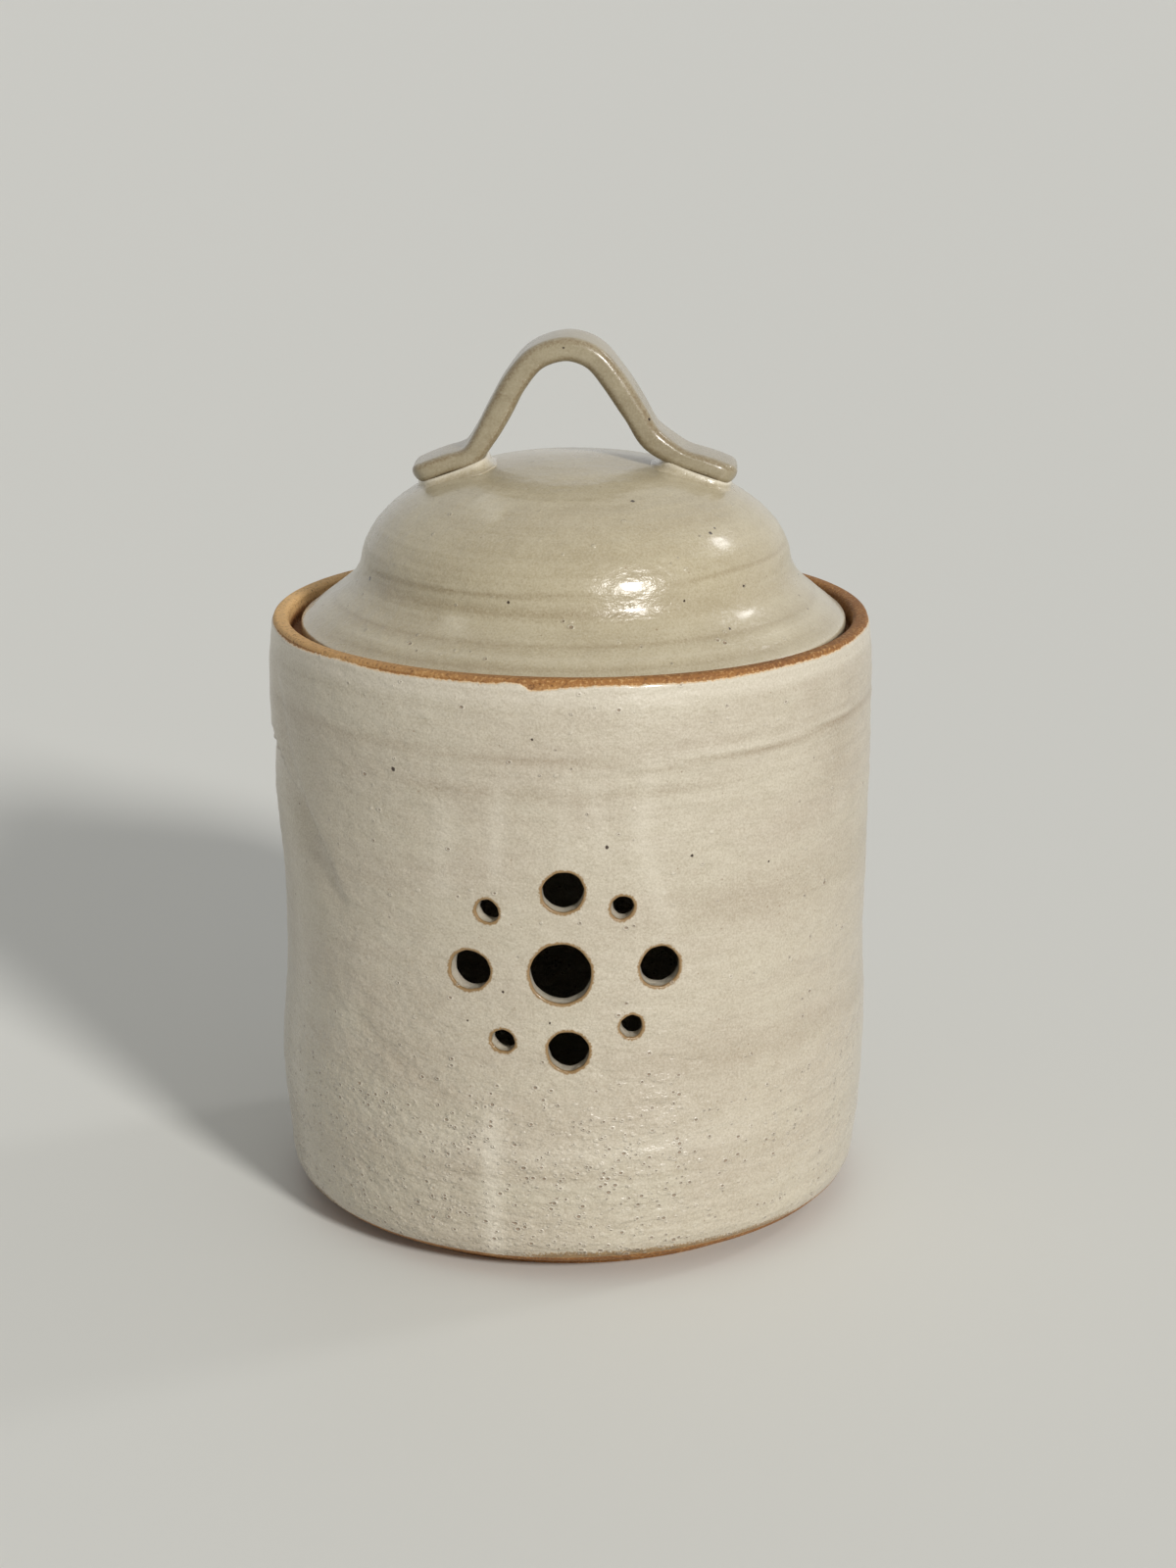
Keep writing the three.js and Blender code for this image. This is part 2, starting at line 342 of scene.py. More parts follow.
class Draft:
    """A mesh being gathered: points with their marks, and faces."""

    def __init__(self) -> None:
        """Starts with nothing."""
        self.points: list[Array] = []
        self.marks: dict[Mark, list[Array]] = {mark: [] for mark in Mark}
        self.faces: list[tuple[int, ...]] = []
        self.count = 0

    def add(self, points: Array, line: Value = 3.0, edge: Value = 0.0, tone: Value = 0.0) -> Array:
        """Adds points.

        Args:
            points: their places, one row each.
            line: how far each lies inside the glaze, in millimetres, negative on bare clay.
            edge: how sharp the form is there, 0 to 1.
            tone: how much paler the glaze is there, darker where negative; on the jar's crease it carries
                painted shade and a painted highlight.

        Returns:
            The numbers of the new points.
        """
        total = len(points)
        self.points.append(np.asarray(points, float))
        for mark, value in ((Mark.LINE, line), (Mark.EDGE, edge), (Mark.TONE, tone)):
            self.marks[mark].append(np.broadcast_to(np.asarray(value, float), (total,)))
        self.count += total
        return np.arange(self.count - total, self.count)

    def pole(self, x: float, height: float, line: float = 3.0) -> int:
        """Adds a point on a form's axis and returns its number."""
        return int(self.add(np.array([[x, 0, height]]), line)[0])

    def middle(self, batch: int, edge: float = 0.0) -> int:
        """Adds the middle of a batch of points and returns its number."""
        return int(self.add(self.points[batch].mean(axis=0)[None], edge=edge)[0])

    def bands(self, rings: Sequence[Array]) -> None:
        """Joins each closed ring of points to the next with four-sided faces."""
        for low, high in zip(rings, rings[1:]):
            corners = [low, np.roll(low, -1), np.roll(high, -1), high]
            self.faces.extend(np.stack(corners, axis=1).tolist())

    def caps(self, rings: Sequence[Array], middles: Sequence[int]) -> None:
        """Closes the first and the last of a row of rings with triangles to a point each."""
        for ring, middle in zip((rings[0][::-1], rings[-1]), middles):
            after = np.roll(ring, -1).tolist()
            self.faces.extend((a, b, middle) for a, b in zip(ring.tolist(), after))

    def piece(self, name: str) -> Piece:
        """Makes the object of the points that its faces use, with its marks as attributes.

        Args:
            name: the object's name.

        Returns:
            The new object, in the scene.
        """
        mesh = bpy.data.meshes.new(name)
        used = np.unique(np.concatenate([np.ravel(face) for face in self.faces]))
        number = np.zeros(self.count, int)
        number[used] = np.arange(len(used))
        faces = [number[list(face)].tolist() for face in self.faces]
        mesh.from_pydata((np.vstack(self.points)[used] * MM).tolist(), [], faces)
        for mark, values in self.marks.items():
            attribute = mesh.attributes.new(mark.value, "FLOAT", "POINT")
            attribute.data.foreach_set("value", np.concatenate(values)[used])
        mesh.shade_smooth()
        made = bpy.data.objects.new(name, mesh)
        bpy.context.scene.collection.objects.link(made)
        return made


@dataclass(frozen=True)
class Vent:
    """A round hole through the jar's wall.

    Attributes:
        degrees: its place from the front.
        height: height of its middle.
        radius: its radius.
        seed: seed of its small unevenness.
    """

    degrees: float
    height: float
    radius: float
    seed: int

    def ring(self, more: float, wall: float) -> tuple[Array, Array]:
        """Places on the wall round the hole, which isn't quite round.

        Args:
            more: how far outside the hole's edge they lie.
            wall: the wall's radius.

        Returns:
            The angle of each place in degrees from the front, and its height.
        """
        gap, least = 0.62, 30
        waves = ((0.09, 2, 0), (0.06, 3, 1), (0.04, 7, 2), (0.03, 11, 0))
        count = max(least, round(2 * math.pi * self.radius / gap))
        spokes = np.arange(count) * 2 * math.pi / count
        starts = np.random.default_rng(self.seed).uniform(0, 2 * math.pi, 3)
        away = self.radius + more
        for size, turns, start in waves:
            away = away + size * np.sin(turns * spokes + starts[start])
        degrees = self.degrees + np.degrees(np.arcsin(away * np.cos(spokes) / wall))
        return degrees, self.height + away * np.sin(spokes)


@dataclass
class WallSide:
    """The outer or the inner surface of the jar's wall.

    Attributes:
        place: gives the points and the marks at angles (degrees) and heights.
        facing: 1 where the surface faces out, -1 where it faces in.
        radius: about how far it lies from the axis.
        vents: the holes in it.
        rows: which of the section's rings cross the stretch with the vents.
    """

    place: Callable[[Array, Array], tuple[Array, dict[str, Value | Array]]]
    facing: int
    radius: float
    vents: Sequence[Vent]
    rows: Array

    def around(self, number: int, more: float) -> Array:
        """Points on it round a vent, a given distance outside the vent's edge."""
        return self.place(*self.vents[number].ring(more, self.radius))[0]


@dataclass
class VentPatch:
    """A stretch of one side of the wall, laced round the vents.

    Attributes:
        draft: the mesh that it is added to.
        side: the surface that it lies on.
        collars: how far outside each hole its rings of points lie, widest first.
        worn: how thin the glaze is on each collar, outside only.
    """

    draft: Draft
    side: WallSide
    collars: tuple[float, ...] = (2.1, 1.0, 0.5)
    worn: tuple[float, ...] = (0.0, 0.08, 0.6)

    def flat(self, degrees: Array, heights: Array) -> list[tuple[float, float]]:
        """Places on the wall as if it were rolled out flat."""
        across = np.radians(degrees) * self.side.radius
        return list(zip(across.tolist(), heights.tolist()))

    def clear(self, degrees: Array, heights: Array) -> Array:
        """Finds the places that lie clear of every vent and its collars.

        Args:
            degrees: the places' angles.
            heights: the places' heights.

        Returns:
            For each place, whether it is clear.
        """
        spare = 0.75
        kept = np.ones(len(degrees), bool)
        for vent in self.side.vents:
            across = np.radians(degrees - vent.degrees) * self.side.radius
            away = np.hypot(across, heights - vent.height)
            kept &= away > vent.radius + self.collars[0] + spare
        return kept

    def lace(self, grid: Array, degrees: Array, heights: Array) -> list[Array]:
        """Fills the stretch.

        Args:
            grid: numbers of the points that are there already, in rows from the lowest and
                columns from the left. Only those on its border are used.
            degrees: the angle of each column.
            heights: the height of each row.

        Returns:
            For each vent, the numbers of the points of its innermost collar.
        """
        rows, columns = grid.shape
        border = [(0, column) for column in range(columns)]
        border += [(row, columns - 1) for row in range(1, rows)]
        border += [(rows - 1, column) for column in range(columns - 2, -1, -1)]
        border += [(row, 0) for row in range(rows - 2, 0, -1)]
        numbers = [int(grid[place]) for place in border]
        row, column = np.array(border).T
        flat = self.flat(degrees[column], heights[row])
        edges = [(k, (k + 1) % len(border)) for k in range(len(border))]

        inner = [part.ravel() for part in np.meshgrid(degrees[1:-1], heights[1:-1])]
        kept = self.clear(*inner)
        batches = [(inner[0][kept], inner[1][kept], 0.0)]
        batches += [
            (*vent.ring(more, self.side.radius), worn if self.side.facing > 0 else 0.0)
            for vent in self.side.vents for more, worn in zip(self.collars, self.worn)
        ]
        innermost = []
        for index, (*places, worn) in enumerate(batches):
            points, marks = self.side.place(*places)
            added = self.draft.add(points, **marks | {"edge": worn})
            first, total = len(flat), len(added)
            numbers += added.tolist()
            flat += self.flat(*places)
            if index:
                edges += [(first + k, first + (k + 1) % total) for k in range(total)]
            if index and index % len(self.collars) == 0:
                innermost.append(added)
        self.fill(flat, edges, numbers, innermost)
        return innermost

    def fill(
        self, flat: list, edges: list, numbers: list[int], innermost: Sequence[Array]
    ) -> None:
        """Adds the triangles between all those points, leaving the vents open.

        Args:
            flat: the places on the rolled out wall.
            edges: pairs of places that must be joined.
            numbers: the number of each place's point in the draft.
            innermost: for each vent, the points of its innermost collar.
        """
        owner = {number: k for k, ring in enumerate(innermost) for number in ring.tolist()}
        points = [Vector(place) for place in flat]
        result = delaunay_2d_cdt(points, edges, [], 0, 1e-7, True)
        faces, sources = result[2], result[3]
        for face in faces:
            corners = [numbers[sources[corner][0]] for corner in face]
            rings = {owner.get(corner) for corner in corners}
            if len(rings) == 1 and None not in rings:
                continue
            if self.side.facing < 0:
                corners.reverse()
            self.draft.faces.append(tuple(corners))


@dataclass
class Jar:
    """The thrown jar: foot, wall, rim, ledge for the lid, and the vents cut through its front.

    Attributes:
        rim_thickness: how wide the rim's top is.
        wall_thickness: thickness of the wall.
        wall_swell: how far the widest part stands out past the rim.
        edge_rounding: rounding of the rim's two edges.
        foot_inset: how far the foot stands in from the rim.
        foot_height: height of the trimmed foot.
        foot_width: width of the ring that it stands on.
        foot_flare: how far the foot widens upwards.
        foot_recess: how far the underside is hollowed.
        belly_rounding: rounding from the foot to the wall.
        floor_thickness: thickness of the floor.
        floor_rounding: rounding inside, from the floor to the wall.
        ledge_depth: how far the ledge lies below the rim.
        ledge_width: width of the ledge.
        ledge_nose: height of the ledge's rounded edge.
        ledge_cove: height of the hollow curve under the ledge.
        columns: how many points once round.
        foot_bare: how far round the belly's rounding the glaze starts, below its top.
        foot_lean: the side on which the glaze stops highest.
        inner_rounding: rounding of the rim's inner edge.
        rim_lift: how much higher the rim stands where it is highest.
        lift_middle: the side of that place, in degrees from the front.
        lift_half: how far round it reaches.
        rim_chips: wanderings of the rim's glaze line: place in degrees, width and rise.
        outline_shares: the wall's outline, as shares of its height and of its swell.
        press_depth: how far a palm pressed the left side in.
        press_middle: the side of the press, in degrees from the front.
        press_height: height of its middle.
        press_half_height: how far it reaches up and down.
        press_half_width: how far it reaches to each side.
        vent_middle: place of the middle vent, in degrees from the front.
        vent_height: height of the middle vent.
        vent_ring: radius of the ring of vents round it.
        vent_bores: widths of the middle, the large and the small vents.
        vent_shares: places of each kind, across and up, as shares of the ring's radius.
        strokes: the marks on the wall; those of the left fold and crease also paint shade along the crease
            and a highlight on a ridge beside it.
    """

    rim_thickness: float = 3.9
    wall_thickness: float = 4.6
    wall_swell: float = 1.5
    edge_rounding: float = 1.0
    foot_inset: float = 11.6
    foot_height: float = 2.4
    foot_width: float = 7.5
    foot_flare: float = 0.7
    foot_recess: float = 1.6
    belly_rounding: float = 8.6
    floor_thickness: float = 5.6
    floor_rounding: float = 7.0
    ledge_depth: float = 5.2
    ledge_width: float = 6.2
    ledge_nose: float = 3.0
    ledge_cove: float = 8.0
    columns: int = 332
    foot_bare: float = math.radians(36)
    foot_lean: float = math.radians(-50)
    inner_rounding: float = 1.5
    rim_lift: float = 1.75
    lift_middle: float = -22.0
    lift_half: float = 80.0

    rim_chips: tuple[tuple[float, float, float], ...] = (
        (-11.0, 2.4, 0.4), (11.5, 0.8, -0.4), (-37.0, 6.0, -0.3),
    )
    outline_shares: tuple[tuple[float, float], ...] = (
        (0, -0.7), (0.1, 0.2), (0.2, 0.5), (0.36, 0.35), (0.55, 0.4),
        (0.75, 0.6), (0.89, 0.9), (0.955, 0.55), (1, 0),
    )

    press_depth: float = 1.8
    press_middle: float = -82.0
    press_height: float = 68.0
    press_half_height: float = 48.0
    press_half_width: float = 42.0

    vent_middle: float = -2.1
    vent_height: float = 75.4
    vent_ring: float = 20.3
    vent_bores: tuple[float, float, float] = (13.7, 9.2, 5.2)
    vent_shares: tuple[tuple[tuple[float, float], ...], ...] = (
        ((0, 0),),
        ((0.03, 0.94), (1.09, 0.04), (0.08, -0.9), (-1.01, -0.01)),
        ((-0.8, 0.69), (0.67, 0.75), (0.77, -0.63), (-0.64, -0.8)),
    )

    strokes: tuple[Stroke, ...] = (
        # The first six marks press the fold and the crease on the left side. Their pressing and grooves are
        # real relief; their darker tones are painted shade along the crease, its groove and the fold's
        # groove.
        Stroke(((-68, 124), (-63.5, 113), (-60.9, 107.5), (-58.7, 103.2), (-55.4, 99)),
               1.2, step=0.8, reach=7.0, tone=-0.15),
        Stroke(((-58.7, 103.2), (-54.1, 97.1), (-51, 92.5), (-49.2, 89.6)),
               1.1, step=0.8, reach=6.0, tone=-0.2),
        Stroke(((-64, 113), (-58.7, 103.2), (-54.1, 97.1), (-51, 92.5), (-48.4, 88.4)),
               0.75, relief=-0.3, tone=-0.6, fade=8.0),
        # This short raised ridge beside the crease is painted paler: a painted highlight along its edge.
        Stroke(((-63, 108.5), (-60, 105), (-57.5, 101.5)), 0.8, relief=0.25, tone=0.3),
        Stroke(((-97, 116), (-82, 114.7), (-74, 112), (-68, 108.5), (-62.5, 105), (-58.9, 101)),
               1.2, step=1.25, reach=8.5, tone=-0.1),
        Stroke(((-92, 116.3), (-85, 115.9), (-80, 115.4), (-75, 113.9), (-70.5, 111.4), (-66.5, 108.7)),
               0.6, relief=-0.5, tone=-0.6, fade=7.0),
        Stroke(((-130, 137.4), (0, 137.1), (130, 137.4)), 2.2, tone=0.4, fade=50.0),
        Stroke(((-43.2, 57.4), (-38.9, 54.4), (-33.9, 50.4), (-26.9, 46.2), (-21.9, 43.4)),
               2.2, relief=-0.2, tone=-0.12),
        Stroke(((-54, 28), (-47, 29.4), (-41.3, 29.1), (-34.6, 28.4)), 1.3, relief=-0.16),
        Stroke(((-46, 34.5), (-38, 37.5), (-30.6, 40.3), (-22.2, 37.4)), 1.6, relief=-0.14),
        Stroke(((-50, 50), (-45, 60), (-43, 75)), 3.5, relief=0.16, tone=0.1),
        Stroke(((-33, 62), (-36, 72), (-34, 84)), 4.0, relief=-0.12, tone=0.1),
        Stroke(((-15, 40), (-15.2, 26), (-15.3, 7)), 2.6, relief=0.1, tone=0.55),
        Stroke(((-17.7, 33), (-17.9, 8)), 0.5, relief=0.08, tone=-0.2),
        Stroke(((-12.6, 33), (-12.5, 8)), 0.5, relief=0.08, tone=-0.2),
        Stroke(((-13, 117), (-13.8, 98)), 2.0, tone=0.35),
        Stroke(((13.2, 120), (12.5, 105), (15, 95), (17.9, 86)), 2.2, relief=0.05, tone=0.26),
        Stroke(((-1.4, 120), (-1.5, 102)), 1.6, tone=0.16),
        Stroke(((57, 132), (60, 104)), 9.0, tone=-0.32, fade=12.0),
        Stroke(((-23, 112), (-24, 94)), 3.0, tone=0.25),
        Stroke(((4, 118), (5, 106)), 2.5, tone=0.22),
        Stroke(((2, 120.6), (20.7, 122.3), (37.2, 122.9), (53.4, 123.9), (80, 124.6), (120, 125)),
               0.65, relief=-0.14, tone=-0.5, fade=25.0),
        Stroke(((8, 122.4), (20.7, 123.8), (37.2, 124.4), (70, 126)),
               0.6, relief=0.08, tone=0.4, fade=12.0),
        Stroke(((-115, 125), (-48.9, 124.9), (-23.7, 124.8), (-4, 124.2), (16, 123)),
               0.8, relief=-0.1, tone=-0.45, fade=22.0),
        Stroke(((-34, 116.5), (0, 116), (28, 117.2)), 1.3, relief=-0.05, tone=-0.3, fade=12.0),
        Stroke(((4, 90), (45, 88.5), (105, 90)), 5.0, tone=-0.25, fade=30.0),
        Stroke(((0, 55), (40, 52), (100, 55)), 4.0, tone=-0.2, fade=30.0),
        Stroke(((-40, 34), (0, 33), (45, 35)), 3.0, tone=0.2, fade=15.0),
    )

    def __post_init__(self) -> None:
        """Takes the overall sizes from the frame, and works out the rest."""
        self.widest, _, self.height = node_box("jar")[1].tolist()
        self.rim_radius = self.widest - self.wall_swell
        self.ledge_height = self.height - self.ledge_depth
        self.rings = Undulation(11, 0.045, (4.0, 11.0), 1)
        self.sway = Undulation(23, 0.11, (24.0, 70.0), 3)
        self.wander = Undulation(5, 0.22, (400.0, 900.0), 12)
        self.wall = self.wall_path()
        self.path = self.section()
        self.along = lengths_along(self.path)
        self.normals = right_of(np.gradient(self.path, axis=0))
        self.degrees = np.arange(self.columns) * 360 / self.columns - 180
        self.foot_line = self.along_at(
            float(self.wall[0, 0]) - self.belly_rounding * (1 - math.cos(self.foot_bare)),
            self.foot_height + self.belly_rounding * (1 - math.sin(self.foot_bare)),
        )
        self.wall_end = self.along_at(*self.wall[-1])
        self.rim_middle = self.along_at(self.rim_radius - self.rim_thickness / 2, self.height)
        self.inside_line = self.along_at(
            self.rim_radius - self.rim_thickness - self.ledge_width,
            self.ledge_height - self.ledge_nose,
        )

    def wall_path(self) -> Array:
        """The outer wall's half outline, from the belly's rounding to the rim's.

        Returns:
            Its points as (radius, height), finer near the rim.
        """
        low = self.foot_height + self.belly_rounding
        high = self.height - self.edge_rounding
        guide = np.array([
            (self.rim_radius + self.wall_swell * swell, low + (high - low) * share)
            for share, swell in self.outline_shares
        ])
        curve = spline(guide, 24, 0.0)
        coarse, fine, fine_from = 1.25, 0.34, high - 3.2
        heights = np.concatenate([
            np.linspace(low, fine_from, round((fine_from - low) / coarse)),
            np.arange(fine_from + fine, high, fine),
        ])
        return np.stack([np.interp(heights, curve[:, 1], curve[:, 0]), heights], axis=1)

    def wall_radius(self, heights: Array | float) -> Array:
        """The outer wall's radius at each height, before it was pressed."""
        return np.interp(heights, self.wall[:, 1], self.wall[:, 0])

    def section(self) -> Array:
        """Half of the jar's section: out along the foot, up the wall, over the rim, down inside.

        Returns:
            Its points as (radius, height).
        """
        foot = self.rim_radius - self.foot_inset
        hollow = foot - self.foot_width
        belly = float(self.wall[0, 0])
        rim_in = self.rim_radius - self.rim_thickness
        nose_in = rim_in - self.ledge_width
        cove_foot = self.ledge_height - self.ledge_nose - self.ledge_cove
        inside = float(self.wall_radius(cove_foot)) - self.wall_thickness
        floor = self.foot_recess + self.floor_thickness
        below = rounded_path([
            (0, self.foot_recess, 0),
            (hollow - self.foot_recess, self.foot_recess, 1.2),
            (hollow, 0, 0.5),
            (foot, 0, 0.5),
            (foot + self.foot_flare, self.foot_height, 0.3),
            (belly, self.foot_height, self.belly_rounding - 0.01),
            (belly, self.foot_height + self.belly_rounding, 0),
        ], 3.2)
        over = rounded_path([
            (*self.wall[-1], 0),
            (self.rim_radius, self.height, self.edge_rounding - 0.01),
            (rim_in, self.height, self.inner_rounding),
            (rim_in, self.ledge_height, 0.7),
            (nose_in, self.ledge_height, self.ledge_nose / 2),
            (nose_in, self.ledge_height - self.ledge_nose, 1.4),
            (inside, cove_foot, 6.0),
            (inside, cove_foot - 2.4, 0),
        ], 0.9)
        heights = np.arange(cove_foot - 4.5, floor + self.floor_rounding, -2.6)
        walls = np.stack([self.wall_radius(heights) - self.wall_thickness, heights], axis=1)
        inner_belly = float(walls[-1, 0])
        bowl = rounded_path([
            (inner_belly, floor + self.floor_rounding, 0),
            (inner_belly, floor, self.floor_rounding - 0.01),
            (0, floor, 0),
        ], 4.2)
        return np.vstack([below, self.wall[1:], over[1:], walls, bowl])

    def press_at(self, degrees: Array, heights: Array | float) -> Array:
        """How far a palm pressed the wall in, fading out smoothly all round."""
        across = np.radians(wrapped(degrees - self.press_middle)) * self.rim_radius
        up = (heights - self.press_height) / self.press_half_height
        return self.press_depth * hump(across / self.press_half_width) * hump(up)

    def lift(self, degrees: Array, heights: Array | float, inside: bool = False) -> Array:
        """How far the uneven rim carries the wall below it up.

        Args:
            degrees: places in degrees from the front.
            heights: heights of the places.
            inside: whether they lie on the inner side.

        Returns:
            The upward move at each place.
        """
        low, reach = (self.ledge_height + 0.5, 3.6) if inside else (self.height - 24, 20)
        share = bell(wrapped(degrees - self.lift_middle), self.lift_half)
        return self.rim_lift * share * smooth((heights - low) / reach)

    def glaze_edge(self, degrees: Array, heights: Array | float) -> Array:
        """How far below the rim's ragged glaze line places of the outer wall lie.

        Args:
            degrees: places in degrees from the front.
            heights: heights of the places.

        Returns:
            The distance at each place, negative on bare clay.
        """
        bare, notch, onset, reach, depth = 1.35, -8.1, 0.5, 7.5, 1.1
        line = self.height - bare + self.wander.at(turned(degrees), 0.0)
        past = degrees - notch
        line = line - depth * smooth(past / onset) * bell(np.maximum(past, 0), reach)
        for middle, width, rise in self.rim_chips:
            line = line + rise * bell(degrees - middle, width)
        return line - heights

    def relief(self, degrees: Array, heights: Array | float) -> tuple[Array, Array]:
        """The outer wall's moves from its plain outline, and its tone.

        Args:
            degrees: places in degrees from the front.
            heights: heights of the places.

        Returns:
            The outward moves in millimetres, and the tone.
        """
        angle = turned(degrees)
        moved, tone = strokes_at(self.strokes, degrees, heights, self.rim_radius)
        fade = smooth((heights - 6) / 8) * smooth((self.height - heights) / 9)
        moved = moved + (self.rings.at(angle, heights) + self.sway.at(angle, heights)) * fade
        inside_line = self.glaze_edge(degrees, heights)
        roll = 0.13 * bell(inside_line - 0.8, 0.7)
        bare = 0.2 * (1 - smooth(inside_line / 0.5 + 0.5)) * smooth((heights - 130) / 5)
        return moved + roll - bare, tone + 2.2 * roll

    def outer(self, degrees: Array, heights: Array | float) -> tuple[Array, dict[str, Array]]:
        """The outer wall at given places.

        Args:
            degrees: places in degrees from the front.
            heights: heights of the places.

        Returns:
            The points, and their marks by name.
        """
        moved, tone = self.relief(degrees, heights)
        radius = self.wall_radius(heights) - self.press_at(degrees, heights) + moved
        radius = np.minimum(radius, self.widest)
        line = np.minimum(3.0, self.glaze_edge(degrees, heights))
        points = spun(radius, degrees, heights + self.lift(degrees, heights))
        return points, {"line": line, "tone": tone}

    def inner(self, degrees: Array, heights: Array | float) -> tuple[Array, dict[str, Array]]:
        """Points of the inner wall at given places, which have no marks."""
        radius = self.wall_radius(heights) - self.wall_thickness - self.press_at(degrees, heights)
        return spun(radius, degrees, heights), {}

    def line_at(self, index: int) -> Array:
        """How far a station of the section lies inside the glaze, all round.

        Args:
            index: the station's number.

        Returns:
            Millimetres inside the glaze at each column, negative on bare clay.
        """
        angle = turned(self.degrees)
        height, along = self.path[index, 1], self.along[index]
        uneven = self.wander.at(angle, 300.0)
        if along >= self.rim_middle:
            return np.clip(along - self.inside_line - 1.5 - 2 * uneven, -3, 3)
        from_foot = along - self.foot_line - 0.9 * np.sin(angle - self.foot_lean) - uneven
        if height > self.height - self.edge_rounding:
            height = self.wall[-1, 1] + along - self.wall_end
        return np.clip(np.minimum(from_foot, self.glaze_edge(self.degrees, height)), -3, 3)

    def along_at(self, radius: float, height: float) -> float:
        """How far along the section its point nearest a given place lies."""
        near = np.hypot(self.path[:, 0] - radius, self.path[:, 1] - height)
        return float(self.along[int(near.argmin())])

    def vents(self) -> list[Vent]:
        """The middle vent and the rings of large and small ones round it.

        Returns:
            The vents, as they open outside.
        """
        made = []
        for bore, shares in zip(self.vent_bores, self.vent_shares):
            for across, up in shares:
                turn = math.degrees(across * self.vent_ring / self.rim_radius)
                height = self.vent_height + up * self.vent_ring
                made.append(Vent(self.vent_middle + turn, height, bore / 2, 40 + len(made)))
        return made

    def leaning(self, vent: Vent) -> Vent:
        """A vent as it opens inside, where those on the right lie a little further round."""
        most, over = 0.9, 10.0
        lean = most * float(smooth((vent.degrees - self.vent_middle) / over))
        return replace(vent, degrees=vent.degrees + lean)

    def station(self, index: int) -> Array:
        """Adds one ring of the section.

        Args:
            index: the station's number.

        Returns:
            The numbers of the ring's points.
        """
        radius, height = self.path[index]
        degrees, angle = self.degrees, turned(self.degrees)
        outside = self.along[index] <= self.wall_end
        line = self.line_at(index)
        if outside and self.wall[0, 1] <= height <= self.wall[-1, 1]:
            points, marks = self.outer(degrees, height)
            return self.draft.add(points, **marks | {"line": line})
        edge = tone = 0.0
        near_rim = height > self.height - 2.5
        if outside:
            moved, tone = self.relief(degrees, max(height, 4.0))
            moved = (moved + 0.16 * bell(line - 0.6, 0.5)) * smooth(line / 0.4 + 0.5)
            edge = bell(line - 0.3, 0.6)
        elif near_rim:
            moved = -0.2 + 0.05 * self.wander.at(angle * 2, height * 60)
        else:
            moved = -0.05 + 0.06 * self.rings.at(angle, radius)
            low_rings = 0.5 * (self.sway.at(angle, height) - 0.2)
            moved = moved + low_rings * smooth((self.ledge_height - 14 - height) / 20)
            moved = moved * smooth((radius - 4) / 12)
        if near_rim:
            tone = tone + 1.25 * bell(degrees + 100, 66) - 0.25 * bell(degrees - 70, 75)
        out, up = self.normals[index]
        inside = self.along[index] > self.rim_middle
        new_radius = radius - self.press_at(degrees, height) + moved * out
        new_heights = height + moved * up + self.lift(degrees, height, inside)
        if height < 0.5 and outside:
            new_heights = np.maximum(new_heights, 0.0)
        return self.draft.add(spun(new_radius, degrees, new_heights), line, edge, tone)

    def mesh(self) -> Piece:
        """Builds the jar with its vents.

        Returns:
            The jar.
        """
        self.draft = Draft()
        stations = np.arange(1, len(self.path) - 1)
        first = self.draft.pole(0, self.path[0, 1], -3.0)
        self.numbers = [self.station(index) for index in stations]
        last = self.draft.pole(0, self.path[-1, 1])
        self.draft.caps(self.numbers, (first, last))

        vents = self.vents()
        spare = 5.2
        reach = [math.degrees((vent.radius + spare) / self.rim_radius) for vent in vents]
        left = min(vent.degrees - more for vent, more in zip(vents, reach))
        right = max(vent.degrees + more for vent, more in zip(vents, reach))
        bottom = min(vent.height - vent.radius for vent in vents) - spare
        top = max(vent.height + vent.radius for vent in vents) + spare
        columns = np.flatnonzero((self.degrees >= left) & (self.degrees <= right))
        heights = self.path[stations, 1]
        within = (heights > bottom) & (heights < top)
        inside = self.along[stations] > self.rim_middle
        ends = [self.leaning(vent) for vent in vents]
        sides = (
            WallSide(self.outer, 1, self.rim_radius, vents, within & ~inside),
            WallSide(self.inner, -1, self.rim_radius - self.wall_thickness, ends, within & inside),
        )
        collars = []
        for side in sides:
            rows = np.flatnonzero(side.rows)[::side.facing]
            grid = np.array([self.numbers[row][columns] for row in rows])
            patch = VentPatch(self.draft, side)
            collars.append(patch.lace(grid, self.degrees[columns], self.path[rows + 1, 1]))
        for number, both in enumerate(zip(*collars)):
            self.bore(sides, number, both)
        self.join_rings(sides, columns)
        return self.draft.piece("garlic_jar")

    def bore(self, sides: Sequence[WallSide], number: int, collars: Sequence[Array]) -> None:
        """Lines one vent from its rounded outer edge through to its inner one.

        Args:
            sides: the outer and the inner side of the wall.
            number: the vent's number.
            collars: its innermost collar on each side.
        """
        lips = ((0.26, 0.01, 1.0), (0.12, 0.09, 1.0), (0.03, 0.22, 1.0), (0, 0.45, 0.7), (0, 0.8, 0.1))
        inner_lips = ((0, 0.8, 0.0), (0.1, 0.35, 0.3), (0.35, 0.08, 0.3))
        outer, inner = sides
        out, back = (spun(1.0, side.vents[number].degrees, 0.0) for side in sides)
        rings = [collars[0]]
        for more, depth, edge in lips:
            first = outer.around(number, more) - out * depth
            rings.append(self.draft.add(first, edge=edge))
        final = inner.around(number, 0) + back * inner_lips[0][1]
        for share in (0.3, 0.6):
            rings.append(self.draft.add(first + (final - first) * share, tone=0.4))
        for more, depth, edge in inner_lips:
            points = inner.around(number, more) + back * depth
            rings.append(self.draft.add(points, edge=edge, tone=0.2))
        self.draft.bands([*rings, collars[1]])

